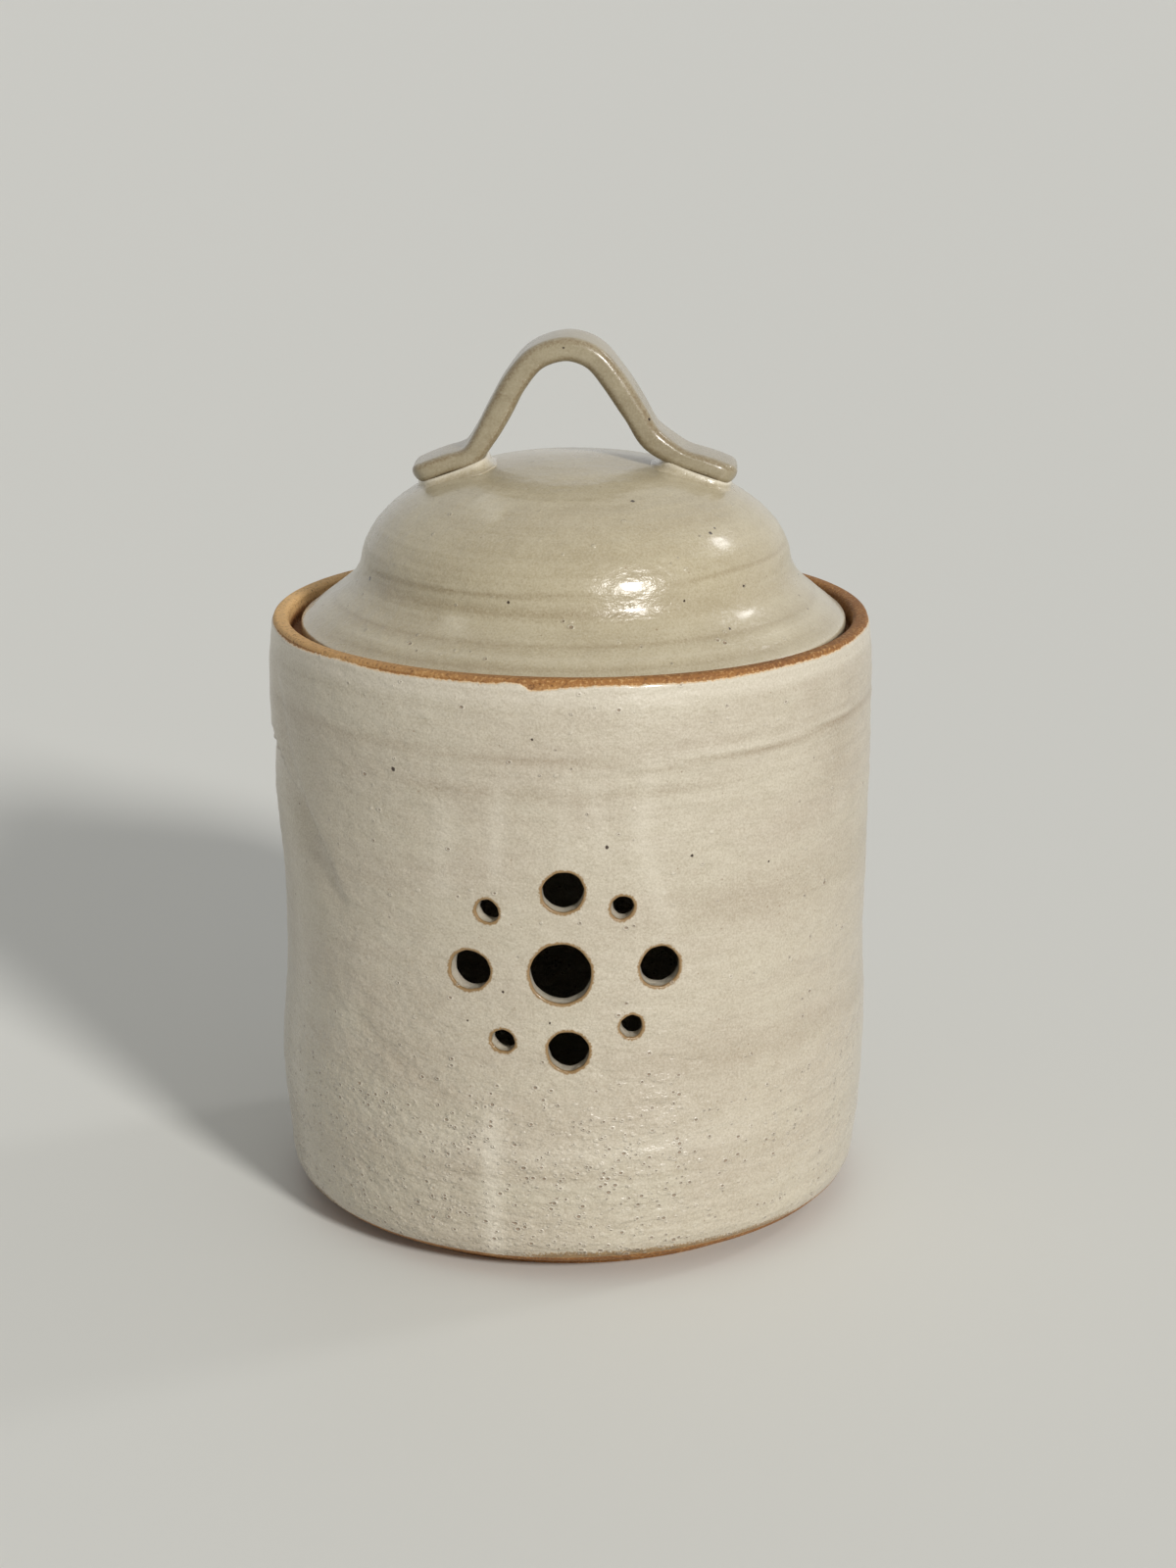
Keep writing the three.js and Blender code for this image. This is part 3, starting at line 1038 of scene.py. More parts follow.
    def join_rings(self, sides: Sequence[WallSide], columns: Array) -> None:
        """Adds the faces between neighbouring rings, leaving out the two laced stretches.

        Args:
            sides: the two sides of the wall.
            columns: the columns that cross the laced stretches.
        """
        everywhere = np.arange(self.columns)
        unlaced = everywhere[~np.isin(everywhere, columns[:-1])]
        for index, (low, high) in enumerate(zip(self.numbers, self.numbers[1:])):
            laced = any(side.rows[index] and side.rows[index + 1] for side in sides)
            kept = unlaced if laced else everywhere
            after = (kept + 1) % self.columns
            faces = np.stack([low[kept], low[after], high[after], high[kept]], axis=1)
            self.draft.faces.extend(faces.tolist())


@dataclass
class Lid:
    """The thrown lid: an edge, a sloping flange and a dome, hollow underneath.

    Attributes:
        thickness: thickness of its wall.
        edge_height: height of its edge.
        edge_rounding: rounding of the edge.
        seat_width: width of the bare ring that lies on the ledge.
        flange_width: width of the flange.
        flange_rise: how far the flange rises.
        fullness: how square the dome's outline is, 2 for round.
        waist_rounding: hollow rounding where the flange turns up into the dome.
        columns: how many points once round.
        spread: how far the flange was thrown out of round.
        spread_middle: the side of that, in degrees from the front.
        spread_half: how far round it reaches.
    """

    thickness: float = 4.3
    edge_height: float = 4.3
    edge_rounding: float = 1.0
    seat_width: float = 3.2
    flange_width: float = 12.6
    flange_rise: float = 10.8
    fullness: float = 2.15
    waist_rounding: float = 5.0
    columns: int = 300
    spread: float = 1.4
    spread_middle: float = -45.0
    spread_half: float = 80.0

    strokes: tuple[Stroke, ...] = (
        Stroke(((-32, 149.5), (-29, 149)), 2.0, relief=0.05, tone=0.55),
        Stroke(((-42, 172.8), (-34.5, 171.8), (-29, 170.9)), 1.6, relief=0.05, tone=0.5),
        Stroke(((-85, 154.8), (-36.8, 155.5), (-15.2, 156), (16, 156.7)),
               0.6, relief=-0.07, tone=-0.5, fade=24.0),
        Stroke(((14, 156.8), (45, 158.5), (95, 159)), 0.6, relief=-0.06, tone=-0.42, fade=18.0),
        Stroke(((-75, 152.6), (-20, 152.2), (26, 152.4)), 1.2, relief=-0.04, tone=-0.35, fade=16.0),
        Stroke(((-120, 146.5), (0, 146.4), (120, 146.8)), 0.5, relief=-0.05, tone=-0.38, fade=40.0),
        Stroke(((-80, 144.4), (10, 144.1), (90, 144.8)), 0.6, relief=0.04, tone=0.3, fade=25.0),
        Stroke(((-70, 142.6), (0, 142.4), (70, 142.8)), 0.5, relief=-0.03, tone=-0.3, fade=20.0),
    )

    def __post_init__(self) -> None:
        """Takes the overall sizes and the place from the frame, and works out the rest."""
        low, high = node_box("lid")
        self.centre = float(low[0] + high[0]) / 2
        self.radius = float(high[0] - low[0]) / 2
        self.seat, self.top = float(low[2]), float(high[2])
        self.dome_radius = self.radius - self.flange_width
        self.dome_base = self.seat + self.edge_height + self.flange_rise
        self.dome_rise = self.top - self.dome_base
        self.lines = Undulation(31, 0.022, (2.2, 6.0), 1)
        self.sway = Undulation(37, 0.09, (20.0, 60.0), 3)

    def lifted(self, distance: Array, lift: Array | float) -> tuple[Array, Array]:
        """Places over the dome, raised square to it.

        Args:
            distance: how far from the axis the places below them lie.
            lift: how far they are raised.

        Returns:
            How far from the axis they lie, and how high.
        """
        share = distance / self.dome_radius
        climb = (1 - share**self.fullness) ** (1 / self.fullness)
        out = share ** (self.fullness - 1) / self.dome_radius
        up = climb ** (self.fullness - 1) / self.dome_rise
        raised = lift / np.hypot(out, up)
        return distance + out * raised, self.dome_base + self.dome_rise * climb + up * raised

    def dome_path(self, radius: float, base: float, rise: float, steps: int) -> Array:
        """A dome's half outline from its foot to the axis, cut into steps."""
        angle = np.linspace(0, math.pi / 2, steps + 1)[:, None]
        across = radius * (np.abs(np.cos(angle)) ** (2 / self.fullness)) * (angle < math.pi / 2)
        return np.hstack([across, base + rise * np.sin(angle) ** (2 / self.fullness)])

    def section(self) -> Array:
        """Half of the lid's section: down the hollow, out along the seat, and over the outside.

        Returns:
            Its points as (radius, height).
        """
        slope = math.hypot(self.flange_width, self.flange_rise)
        drop = self.thickness * slope / self.flange_width
        hollow_base = self.dome_base + self.thickness * self.flange_rise / self.flange_width - drop
        hollow = self.dome_path(
            self.dome_radius - self.thickness, hollow_base,
            self.top - self.thickness - hollow_base, 44,
        )[::-1]
        edge = rounded_path([
            (*hollow[-1], 0),
            (self.radius - self.seat_width, self.seat, 0.8),
            (self.radius, self.seat, self.edge_rounding),
            (self.radius, self.seat + self.edge_height, self.edge_rounding),
            (self.dome_radius + 4.2, self.dome_base - 3.6, 0),
        ], 0.9)
        dome = self.dome_path(self.dome_radius, self.dome_base, self.dome_rise, 74)
        joined = dome[dome[:, 1] > self.dome_base + self.waist_rounding * 0.9]
        corner = np.array([self.dome_radius, self.dome_base])
        share = np.linspace(0, 1, 12)[1:-1, None]
        waist = (1 - share) ** 2 * edge[-1] + 2 * share * (1 - share) * corner + share**2 * joined[0]
        return np.vstack([hollow, edge[1:], waist, joined])

    def mesh(self) -> Piece:
        """Builds the lid.

        Returns:
            The lid.
        """
        path = self.section()
        normals = right_of(np.gradient(path, axis=0))
        along = lengths_along(path)
        from_seat = np.hypot(path[:, 0] - self.radius + self.seat_width, path[:, 1] - self.seat)
        seat_start = along[int(from_seat.argmin())] - 0.5
        seat_end = seat_start + self.seat_width + self.edge_rounding + 1.1
        degrees = np.arange(self.columns) * 360 / self.columns - 180
        angle = turned(degrees)
        uneven = self.spread * bell(wrapped(degrees - self.spread_middle), self.spread_half)
        draft = Draft()
        first = draft.pole(self.centre, path[0, 1])
        rings = []
        for (radius, height), (out, up), run in list(zip(path, normals, along))[1:-1]:
            moved = tone = brink = 0.0
            if run > seat_end:
                moved, tone = strokes_at(self.strokes, degrees, height, self.dome_radius)
                moved = moved + self.lines.at(angle, run) + self.sway.at(angle, run) - 0.12
                moved = moved * smooth((run - seat_end) / 3) * smooth(radius / 14)
                away = math.hypot(radius - self.radius, height - self.seat - self.edge_height)
                brink = bell(away, 0.9)
            moved = np.minimum(moved, 0.25)
            line = np.clip(-min(run - seat_start, seat_end - run), -3, 3)
            across = radius + moved * out
            across = across + uneven * smooth((radius - self.dome_radius) / self.flange_width)
            points = spun(across, degrees, height + moved * up) + [self.centre, 0, 0]
            rings.append(draft.add(points, line, 0.1 * brink, tone + 0.7 * brink))
        draft.caps(rings, (first, draft.pole(self.centre, path[-1, 1])))
        draft.bands(rings)
        return draft.piece("garlic_lid")

@dataclass
class StrapHandle:
    """A pulled strap, bent into an arch, with a blunt foot at each end.

    Attributes:
        lid: the lid that it stands on.
        inset: how far its ends stay inside the dome's edge.
        rise: how far the arch rises over the dome.
        width: width of the strap.
        thickness: thickness of the strap.
        rounding: rounding of the strap's edges.
        crown: how far the middle of each broad face stands out.
        foot_thickness: thickness of the feet, which were pressed flat.
        bed: thickness of the slip under it.
        sunk: how far its feet sank into the slip.
        end_rounding: rounding of its ends, seen from above.
        turn: how far it is turned on the dome, in degrees.
        steps: how many pieces each stretch of the route is cut into.
    """

    lid: Lid
    inset: float = 15.2
    rise: float = 21.6
    width: float = 15.5
    thickness: float = 6.0
    rounding: float = 2.1
    crown: float = 0.2
    foot_thickness: float = 4.9
    bed: float = 1.1
    sunk: float = 0.5
    end_rounding: float = 5.5
    turn: float = -2.5
    steps: int = 14

    flattening: tuple[float, float] = (0.55, 0.8)
    narrowest: float = 0.46
    foot_shares: tuple[float, ...] = (1.0, 0.9, 0.78, 0.65)
    arch_shares: tuple[tuple[float, float], ...] = (
        (-0.579, 0.079), (-0.478, 0.351), (-0.379, 0.642), (-0.244, 0.899), (-0.07, 1),
        (0.041, 0.979), (0.141, 0.893), (0.261, 0.654), (0.385, 0.34), (0.5, 0.042),
    )

    def __post_init__(self) -> None:
        """Works out its reach and its top."""
        self.reach = self.lid.dome_radius - self.inset
        self.top = float(node_box("handle")[1][2])
        self.lump = Undulation(53, 0.13, (14.0, 40.0), 2)

    def route(self) -> Array:
        """The middle line of the strap, left to right, in its own upright plane.

        Returns:
            Its points as (across, height).
        """
        lift = self.bed + self.thickness / 2
        feet = np.stack(self.lid.lifted(self.reach * np.array(self.foot_shares), lift), axis=1)
        arch = np.array([0, self.lid.top + lift]) + np.array(self.arch_shares) * [self.reach, self.rise]
        return spline(np.vstack([feet * [-1, 1], arch, feet[::-1]]), self.steps)

    def section(self) -> tuple[Array, Array]:
        """The strap's section, with rounded edges and slightly domed broad faces.

        Returns:
            Its points as (sideways, up), and how sharp the form is at each.
        """
        half, deep = self.width / 2, self.thickness / 2 - self.crown
        arc_steps, face_steps = 10, 9
        quarter = np.linspace(0, math.pi / 2, arc_steps + 1)
        round_edge = np.stack([
            half - self.rounding + self.rounding * np.cos(quarter),
            deep - self.rounding + self.rounding * np.sin(quarter),
        ], axis=1)
        face = np.linspace(half - self.rounding, self.rounding - half, face_steps + 1)[1:-1]
        top = np.vstack([
            round_edge, np.stack([face, np.full_like(face, deep)], axis=1),
            (round_edge * [-1, 1])[::-1],
        ])
        raised = self.crown * (1 - (top[:, 0] / half) ** 2)
        top[:, 1] += raised * smooth(top[:, 1] / deep)
        points = np.vstack([top, top * -1])
        bend = np.sin(2 * quarter)
        edge = np.concatenate([bend, np.zeros(len(face)), bend[::-1]])
        return points, np.concatenate([edge, edge])

    def pressed(self, points: Array) -> Array:
        """Presses the strap's feet flat on their slip.

        Args:
            points: the strap's points, along and across it and up.

        Returns:
            The same points, lower near the ends.
        """
        distance = np.abs(points[:, 0])
        low, high = self.flattening
        share = smooth((distance / self.reach - low) / (high - low))
        bed = self.lid.lifted(np.minimum(distance, self.reach), self.bed)[1]
        kept = 1 - share * (1 - self.foot_thickness / self.thickness)
        pressed = bed + (points[:, 2] - bed) * kept - share * self.sunk
        return np.stack([points[:, 0], points[:, 1], pressed], axis=1)

    def placed(self, points: Array) -> Array:
        """Turns points of the handle's own plane and sets them on the lid.

        Args:
            points: the points, along and across the strap and up.

        Returns:
            Their places in the frame.
        """
        turn = math.radians(self.turn)
        x = points[:, 0] * math.cos(turn) - points[:, 1] * math.sin(turn)
        y = points[:, 0] * math.sin(turn) + points[:, 1] * math.cos(turn)
        return np.stack([x + self.lid.centre, y, points[:, 2]], axis=1)

    def stations(self) -> tuple[Array, Array, Array, Array]:
        """Where the section is set along the route.

        Returns:
            For each place its distance along the route, its distance to the nearer end, the
            middle of the section, and the direction square to the strap.
        """
        path = self.route()
        along = lengths_along(path)
        total = float(along[-1])
        gap, near = 0.75, 0.8
        ends = np.array([0.02, 0.1, 0.25, 0.45, 0.7, 1.0, 1.4, 1.9, 2.5, 3.2, 4.0, 4.8])
        middle = np.arange(ends[-1] + gap, total - ends[-1] - gap / 2, gap)
        stops = np.concatenate([ends, middle, total - ends[::-1]])
        centre, ahead, behind = (
            np.stack([np.interp(stops + shift, along, path[:, k]) for k in (0, 1)], axis=1)
            for shift in (0, near, -near)
        )
        return stops, np.minimum(stops, total - stops), centre, -right_of(ahead - behind)

    def mesh(self) -> Piece:
        """Builds the strap.

        Returns:
            The strap.
        """
        outline, sharp = self.section()
        spokes = np.linspace(0, 2 * math.pi, len(outline), endpoint=False)
        blunt = self.thickness / 2.4
        draft = Draft()
        rings = []
        for stop, to_end, centre, normal in zip(*self.stations()):
            narrow = math.sqrt(1 - (1 - min(1, to_end / self.end_rounding)) ** 2)
            thin = math.sqrt(1 - (1 - min(1, to_end / blunt)) ** 2)
            wide = self.narrowest + (1 - self.narrowest) * narrow
            side = outline[:, 0] * wide * (0.75 + 0.25 * thin)
            side = side * (1 + self.lump.at(spokes, stop) / self.width)
            up = outline[:, 1] * thin
            up = up * (1 + (self.lump.at(spokes, stop + 200) - 0.1) / self.thickness)
            points = np.stack([centre[0] + normal[0] * up, side, centre[1] + normal[1] * up], axis=1)
            points = self.placed(self.pressed(points))
            points[:, 2] = np.minimum(points[:, 2], self.top)
            rings.append(draft.add(points, edge=0.5 * sharp * narrow + 0.2 * (1 - narrow)))
        first, last = draft.middle(0, 0.2), draft.middle(len(rings) - 1, 0.2)
        draft.bands(rings[::-1])
        draft.caps(rings[::-1], (last, first))
        return draft.piece("strap_handle")


@dataclass
class SlipBed:
    """The slip that beds one foot of the handle: a bead with a hollow fillet down to the dome.

    Attributes:
        handle: the handle.
        side: which foot.
        heel: where the bed stops under the rising strap, as a share of the handle's reach.
        around: how many points round the bead.
    """

    handle: StrapHandle
    side: Side
    heel: float = 0.555
    around: int = 120

    profile: tuple[tuple[float, float], ...] = (
        (-2.4, 0.9), (-1.3, 1.1), (-0.7, 1.4), (-0.35, 1.5), (-0.1, 1.38), (0.1, 1.05),
        (0.28, 0.7), (0.48, 0.4), (0.72, 0.2), (1.0, 0.06), (1.3, -0.05), (1.6, -0.18),
        (1.6, -0.5), (-2.4, -0.5),
    )

    def __post_init__(self) -> None:
        """Works out the directions round the bead."""
        self.spokes = np.arange(self.around) * 2 * math.pi / self.around

    def outline(self) -> tuple[Array, Array]:
        """The foot's outline from above.

        Returns:
            The places along and across the strap, and how near the heel each is, 0 to 1.
        """
        handle = self.handle
        low, high = self.heel * handle.reach, handle.reach + 0.4
        middle, half = (low + high) / 2, (high - low) / 2
        cosine, sine = np.cos(self.spokes), np.sin(self.spokes)
        along = middle + half * np.sign(cosine) * np.abs(cosine) ** (2 / 5.0)
        across = handle.width / 2 * np.sign(sine) * np.abs(sine) ** (2 / 3.4)
        narrow = np.sqrt(1 - (1 - np.clip((high - along) / handle.end_rounding, 0, 1)) ** 2)
        across = across * (handle.narrowest + (1 - handle.narrowest) * narrow)
        return np.stack([along, across], axis=1), smooth((middle - along) / half)

    def mesh(self) -> Piece:
        """Builds the bed.

        Returns:
            The bed.
        """
        here, near_heel = self.outline()
        out = right_of(np.roll(here, -1, axis=0) - np.roll(here, 1, axis=0))
        uneven = Undulation(61 + self.side.value, 0.3, (400, 900), 7)
        wide = 0.75 + 0.6 * uneven.at(self.spokes, 0.0) + 0.4 * near_heel
        fillet = out * wide[:, None]
        draft = Draft()
        rings = []
        for index, (away, lift) in enumerate(self.profile):
            flat = here + away * (fillet if away > 0 else out)
            points = self.on_dome(flat, lift * (1 + 0.5 * near_heel) if lift > 0 else lift)
            tone = bell(index - 4, 1.6) * (0.8 + 0.8 * uneven.at(self.spokes, 100.0))
            rings.append(draft.add(points, edge=0.3 if index in (2, 9) else 0.0, tone=tone))
        order = -self.side.value
        draft.bands(rings[::order])
        draft.caps(rings[::order], (draft.middle(0), draft.middle(len(rings) - 1))[::order])
        return draft.piece(f"slip_{self.side.name.lower()}")

    def on_dome(self, flat: Array, raised: Array | float) -> Array:
        """Points over the dome, raised square to it.

        Args:
            flat: places along and across the strap.
            raised: how far they are raised.

        Returns:
            The points in the frame.
        """
        distance = np.hypot(flat[:, 0], flat[:, 1])
        away, height = self.handle.lid.lifted(distance, raised)
        grown = flat * (away / distance)[:, None] * [self.side.value, 1]
        return self.handle.placed(np.column_stack([grown, height]))


class Sheet:
    """A node tree that is filled from left to right.

    Attributes:
        tree: the tree.
        place: what gives each place of the surface, in millimetres.
    """

    def __init__(self, tree: bpy.types.NodeTree) -> None:
        """Takes the tree to fill."""
        self.tree = tree
        self.place: Value = (0.0, 0.0, 0.0)
        self.column = 0

    def add(self, kind: str, inputs: Mapping[str | int, Value] | None = None, **settings) -> bpy.types.Node:
        """Adds a node.

        Args:
            kind: the node's type.
            inputs: what goes into its sockets, by name or number.
            **settings: its other settings.

        Returns:
            The new node.
        """
        node = self.tree.nodes.new(kind)
        for name, value in settings.items():
            setattr(node, name, value)
        for key, value in (inputs or {}).items():
            if isinstance(value, bpy.types.NodeSocket):
                self.tree.links.new(value, node.inputs[key])
            else:
                node.inputs[key].default_value = value
        node.location = (self.column * 190, -160 * (self.column % 4))
        self.column += 1
        return node

    def sum(self, operation: str, first: Value, second: Value, clamp: bool = False) -> Socket:
        """The result of a sum on numbers."""
        node = self.add("ShaderNodeMath", {0: first, 1: second}, operation=operation, use_clamp=clamp)
        return node.outputs[0]

    def times(self, first: Value, second: Value) -> Socket:
        """One number times another."""
        return self.sum("MULTIPLY", first, second)

    def plus(self, first: Value, second: Value) -> Socket:
        """One number and another."""
        return self.sum("ADD", first, second)

    def rest(self, share: Value) -> Socket:
        """What a share leaves of 1."""
        return self.sum("SUBTRACT", 1.0, share)

    def part(self, vector: Value, axis: int) -> Socket:
        """One of the three numbers of a place."""
        return self.add("ShaderNodeSeparateXYZ", {0: vector}).outputs[axis]

    def vector(self, operation: str, first: Value, second: Value) -> Socket:
        """The result of a sum on vectors."""
        return self.add("ShaderNodeVectorMath", {0: first, 1: second}, operation=operation).outputs[0]

    def mix(self, share: Value, first: Value, second: Value) -> Socket:
        """A colour between two, by share."""
        inputs = {0: share, 6: first, 7: second}
        return self.add("ShaderNodeMix", inputs, data_type="RGBA", clamp_factor=True).outputs[2]

    def between(self, share: Value, first: Value, second: Value) -> Socket:
        """A number between two, by share."""
        inputs = {0: share, 2: first, 3: second}
        return self.add("ShaderNodeMix", inputs, data_type="FLOAT", clamp_factor=True).outputs[0]

    def step(self, value: Value, low: Value, high: Value) -> Socket:
        """A smooth step from 0 at low to 1 at high."""
        inputs = {"Value": value, "From Min": low, "From Max": high}
        return self.add("ShaderNodeMapRange", inputs, interpolation_type="SMOOTHSTEP").outputs[0]

    def noise(self, vector: Value, scale: float, detail: float, rough: float, warp: float = 0.0) -> Socket:
        """Cloudy noise around one half."""
        inputs = {"Vector": vector, "Scale": scale, "Detail": detail, "Roughness": rough, "Distortion": warp}
        return self.add("ShaderNodeTexNoise", inputs).outputs["Fac"]

    def swing(self, vector: Value, scale: float, detail: float, rough: float, size: Value) -> Socket:
        """Cloudy noise around zero, and its size."""
        return self.times(self.sum("SUBTRACT", self.noise(vector, scale, detail, rough), 0.5), size)

    def stretched(self, vector: Value, across: Value, up: Value) -> Socket:
        """A place with its level parts and its height scaled apart."""
        scale = self.add("ShaderNodeCombineXYZ", {0: across, 1: across, 2: up}).outputs[0]
        return self.vector("MULTIPLY", vector, scale)


NUMBER = "NodeSocketFloat"
PLACE = "NodeSocketVector"


class Effect:
    """A shader node group that is built once and placed in several finishes."""

    title = ""
    takes: tuple[tuple[str, str], ...] = ()
    gives: tuple[str, ...] = ()

    def wire(self, sheet: Sheet, given: Sockets) -> Sockets:
        """Adds the group's nodes, from its inputs, and returns what feeds each output."""
        raise NotImplementedError

    def tree(self) -> bpy.types.NodeTree:
        """Finds the node group, or makes it.

        Returns:
            Its tree.
        """
        known = bpy.data.node_groups.get(self.title)
        if known:
            return known
        tree = bpy.data.node_groups.new(self.title, "ShaderNodeTree")
        for name, kind in self.takes:
            tree.interface.new_socket(name=name, in_out="INPUT", socket_type=kind)
        for name in self.gives:
            tree.interface.new_socket(name=name, in_out="OUTPUT", socket_type=NUMBER)
        sheet = Sheet(tree)
        entry = sheet.add("NodeGroupInput")
        results = self.wire(sheet, {socket.name: socket for socket in entry.outputs if socket.name})
        sheet.add("NodeGroupOutput", results)
        return tree

    def place(self, sheet: Sheet, **values: Value) -> Sockets:
        """Places the group in a finish, with values for its inputs, and gives its outputs."""
        inputs = {"Vector": sheet.place, **values}
        return sheet.add("ShaderNodeGroup", inputs, node_tree=self.tree()).outputs


class ThrowingLines(Effect):
    """Level lines that the potter's fingers left, -1 to 1, in millimetre coordinates."""

    title = "throwing_lines"
    takes = (("Vector", PLACE), ("Spacing", NUMBER))
    gives = ("Lines",)

    def wire(self, sheet: Sheet, given: Sockets) -> Sockets:
        """Stretches noise round the form."""
        up = sheet.sum("DIVIDE", 1.0, given["Spacing"])
        place = sheet.stretched(given["Vector"], sheet.times(up, 0.012), up)
        return {"Lines": sheet.swing(place, 1.0, 4.0, 0.62, 3.2)}


class GlazeMottle(Effect):
    """Soft clouds of thicker and thinner glaze, 0 to 1."""

    title = "glaze_mottle"
    takes = (("Vector", PLACE), ("Size", NUMBER), ("Flatten", NUMBER))
    gives = ("Clouds",)

    def wire(self, sheet: Sheet, given: Sockets) -> Sockets:
        """Flattens and warps noise."""
        across = sheet.sum("DIVIDE", 1.0, given["Size"])
        place = sheet.stretched(given["Vector"], across, sheet.times(across, given["Flatten"]))
        return {"Clouds": sheet.step(sheet.noise(place, 1.0, 4.0, 0.55, 0.5), 0.3, 0.7)}


class FineGrain(Effect):
    """The fine grain of a matt crystal glaze or of clay, -1 to 1."""

    title = "fine_grain"
    takes = (("Vector", PLACE), ("Size", NUMBER))
    gives = ("Grain",)

    def wire(self, sheet: Sheet, given: Sockets) -> Sockets:
        """Evens out the size and adds noise."""
        rate = sheet.sum("DIVIDE", 1.0, given["Size"])
        place = sheet.stretched(given["Vector"], rate, rate)
        return {"Grain": sheet.swing(place, 1.0, 2.0, 0.6, 3.6)}


class Specks(Effect):
    """Sparse round spots, each in its own cell: iron specks, pinholes or pits."""

    title = "specks"
    takes = (("Vector", PLACE), ("Cell", NUMBER), ("Radius", NUMBER), ("Share", NUMBER))
    gives = ("Mask", "Lip")

    def wire(self, sheet: Sheet, given: Sockets) -> Sockets:
        """Picks a few cells and draws a spot of its own size in each."""
        rate = sheet.sum("DIVIDE", 1.0, given["Cell"])
        place = sheet.stretched(given["Vector"], rate, rate)
        cells = sheet.add("ShaderNodeTexVoronoi", {"Vector": place, "Scale": 1.0})
        away = sheet.times(cells.outputs["Distance"], given["Cell"])
        lots = sheet.add("ShaderNodeSeparateColor", {0: cells.outputs["Color"]}).outputs
        chosen = sheet.sum("LESS_THAN", lots[0], given["Share"])
        size = sheet.times(given["Radius"], sheet.plus(sheet.sum("POWER", lots[1], 1.6), 0.42))
        spot = sheet.rest(sheet.step(away, sheet.times(size, 0.5), size))
        halo = sheet.rest(sheet.step(away, size, sheet.times(size, 1.9)))
        return {"Mask": sheet.times(spot, chosen), "Lip": sheet.times(halo, chosen)}


class PlacedSpeck(Effect):
    """One spot at a given place."""

    title = "placed_speck"
    takes = (("Vector", PLACE), ("Place", PLACE), ("Radius", NUMBER))
    gives = ("Mask",)

    def wire(self, sheet: Sheet, given: Sockets) -> Sockets:
        """Measures the distance from the place, slightly warped so that the spot isn't round."""
        away = sheet.add(
            "ShaderNodeVectorMath", {0: given["Vector"], 1: given["Place"]}, operation="DISTANCE",
        ).outputs["Value"]
        away = sheet.plus(away, sheet.swing(given["Vector"], 1.7, 1.0, 0.5, 0.5))
        radius = given["Radius"]
        return {"Mask": sheet.rest(sheet.step(away, sheet.times(radius, 0.6), radius))}


class GlazeLine(Effect):
    """Where the glaze ends: its ragged edge, the thin brown band along it, and its thickness."""

    title = "glaze_line"
    takes = (("Vector", PLACE), ("Line", NUMBER), ("Ragged", NUMBER), ("Band", NUMBER))
    gives = ("Glaze", "Band", "Depth")

    def wire(self, sheet: Sheet, given: Sockets) -> Sockets:
        """Roughens the distance from the line and takes steps of it."""
        shift = sheet.swing(given["Vector"], 1.1, 3.0, 0.6, given["Ragged"])
        inside = sheet.plus(given["Line"], shift)
        return {
            "Glaze": sheet.step(inside, -0.06, 0.06),
            "Band": sheet.rest(sheet.step(inside, 0.0, given["Band"])),
            "Depth": sheet.step(inside, -0.1, 0.5),
        }


class EdgeBreak(Effect):
    """How far the glaze has run thin over a sharp edge, so that the clay shows brown through."""

    title = "edge_break"
    takes = (("Vector", PLACE), ("Edge", NUMBER))
    gives = ("Thin",)

    def wire(self, sheet: Sheet, given: Sockets) -> Sockets:
        """Breaks the edge up with noise."""
        worn = sheet.plus(given["Edge"], sheet.swing(given["Vector"], 1.9, 3.0, 0.65, 1.5))
        near = sheet.step(given["Edge"], 0.05, 0.4)
        return {"Thin": sheet.times(sheet.step(worn, 0.22, 0.66), near)}


@dataclass(frozen=True)
class BareClay:
    """The unglazed stoneware body: toasted, sandy and matt.

    Attributes:
        light: colour of the sandy grains, and of the clay where the fire was gentle.
        body: main colour.
        toasted: colour where the fire reached it.
        burnt: colour of the dark grains.
        roughness: roughness of the surface.
    """

    light: Colour = srgb(224, 182, 124)
    body: Colour = srgb(159, 108, 51)
    toasted: Colour = srgb(137, 89, 43)
    burnt: Colour = srgb(98, 62, 31)
    roughness: float = 0.72

    def colour(self, sheet: Sheet, sand: Socket, tone: Socket) -> Socket:
        """The clay's colour.

        Args:
            sheet: the finish's node tree.
            sand: the grain of the clay's sand.
            tone: how much paler the clay is there.

        Returns:
            The colour at each place.
        """
        clouds = GlazeMottle().place(sheet, Size=16.0, Flatten=1.0)["Clouds"]
        colour = sheet.mix(clouds, self.body, self.toasted)
        dark = sheet.step(sheet.times(sand, -1.0), 0.15, 0.9)
        for mask, strength, tint in (
            (tone, 0.8, self.light), (tone, -0.8, self.burnt),
            (sheet.step(sand, 0.1, 0.8), 0.5, self.light), (dark, 0.75, self.burnt),
        ):
            colour = sheet.mix(sheet.times(mask, strength), colour, tint)
        return colour


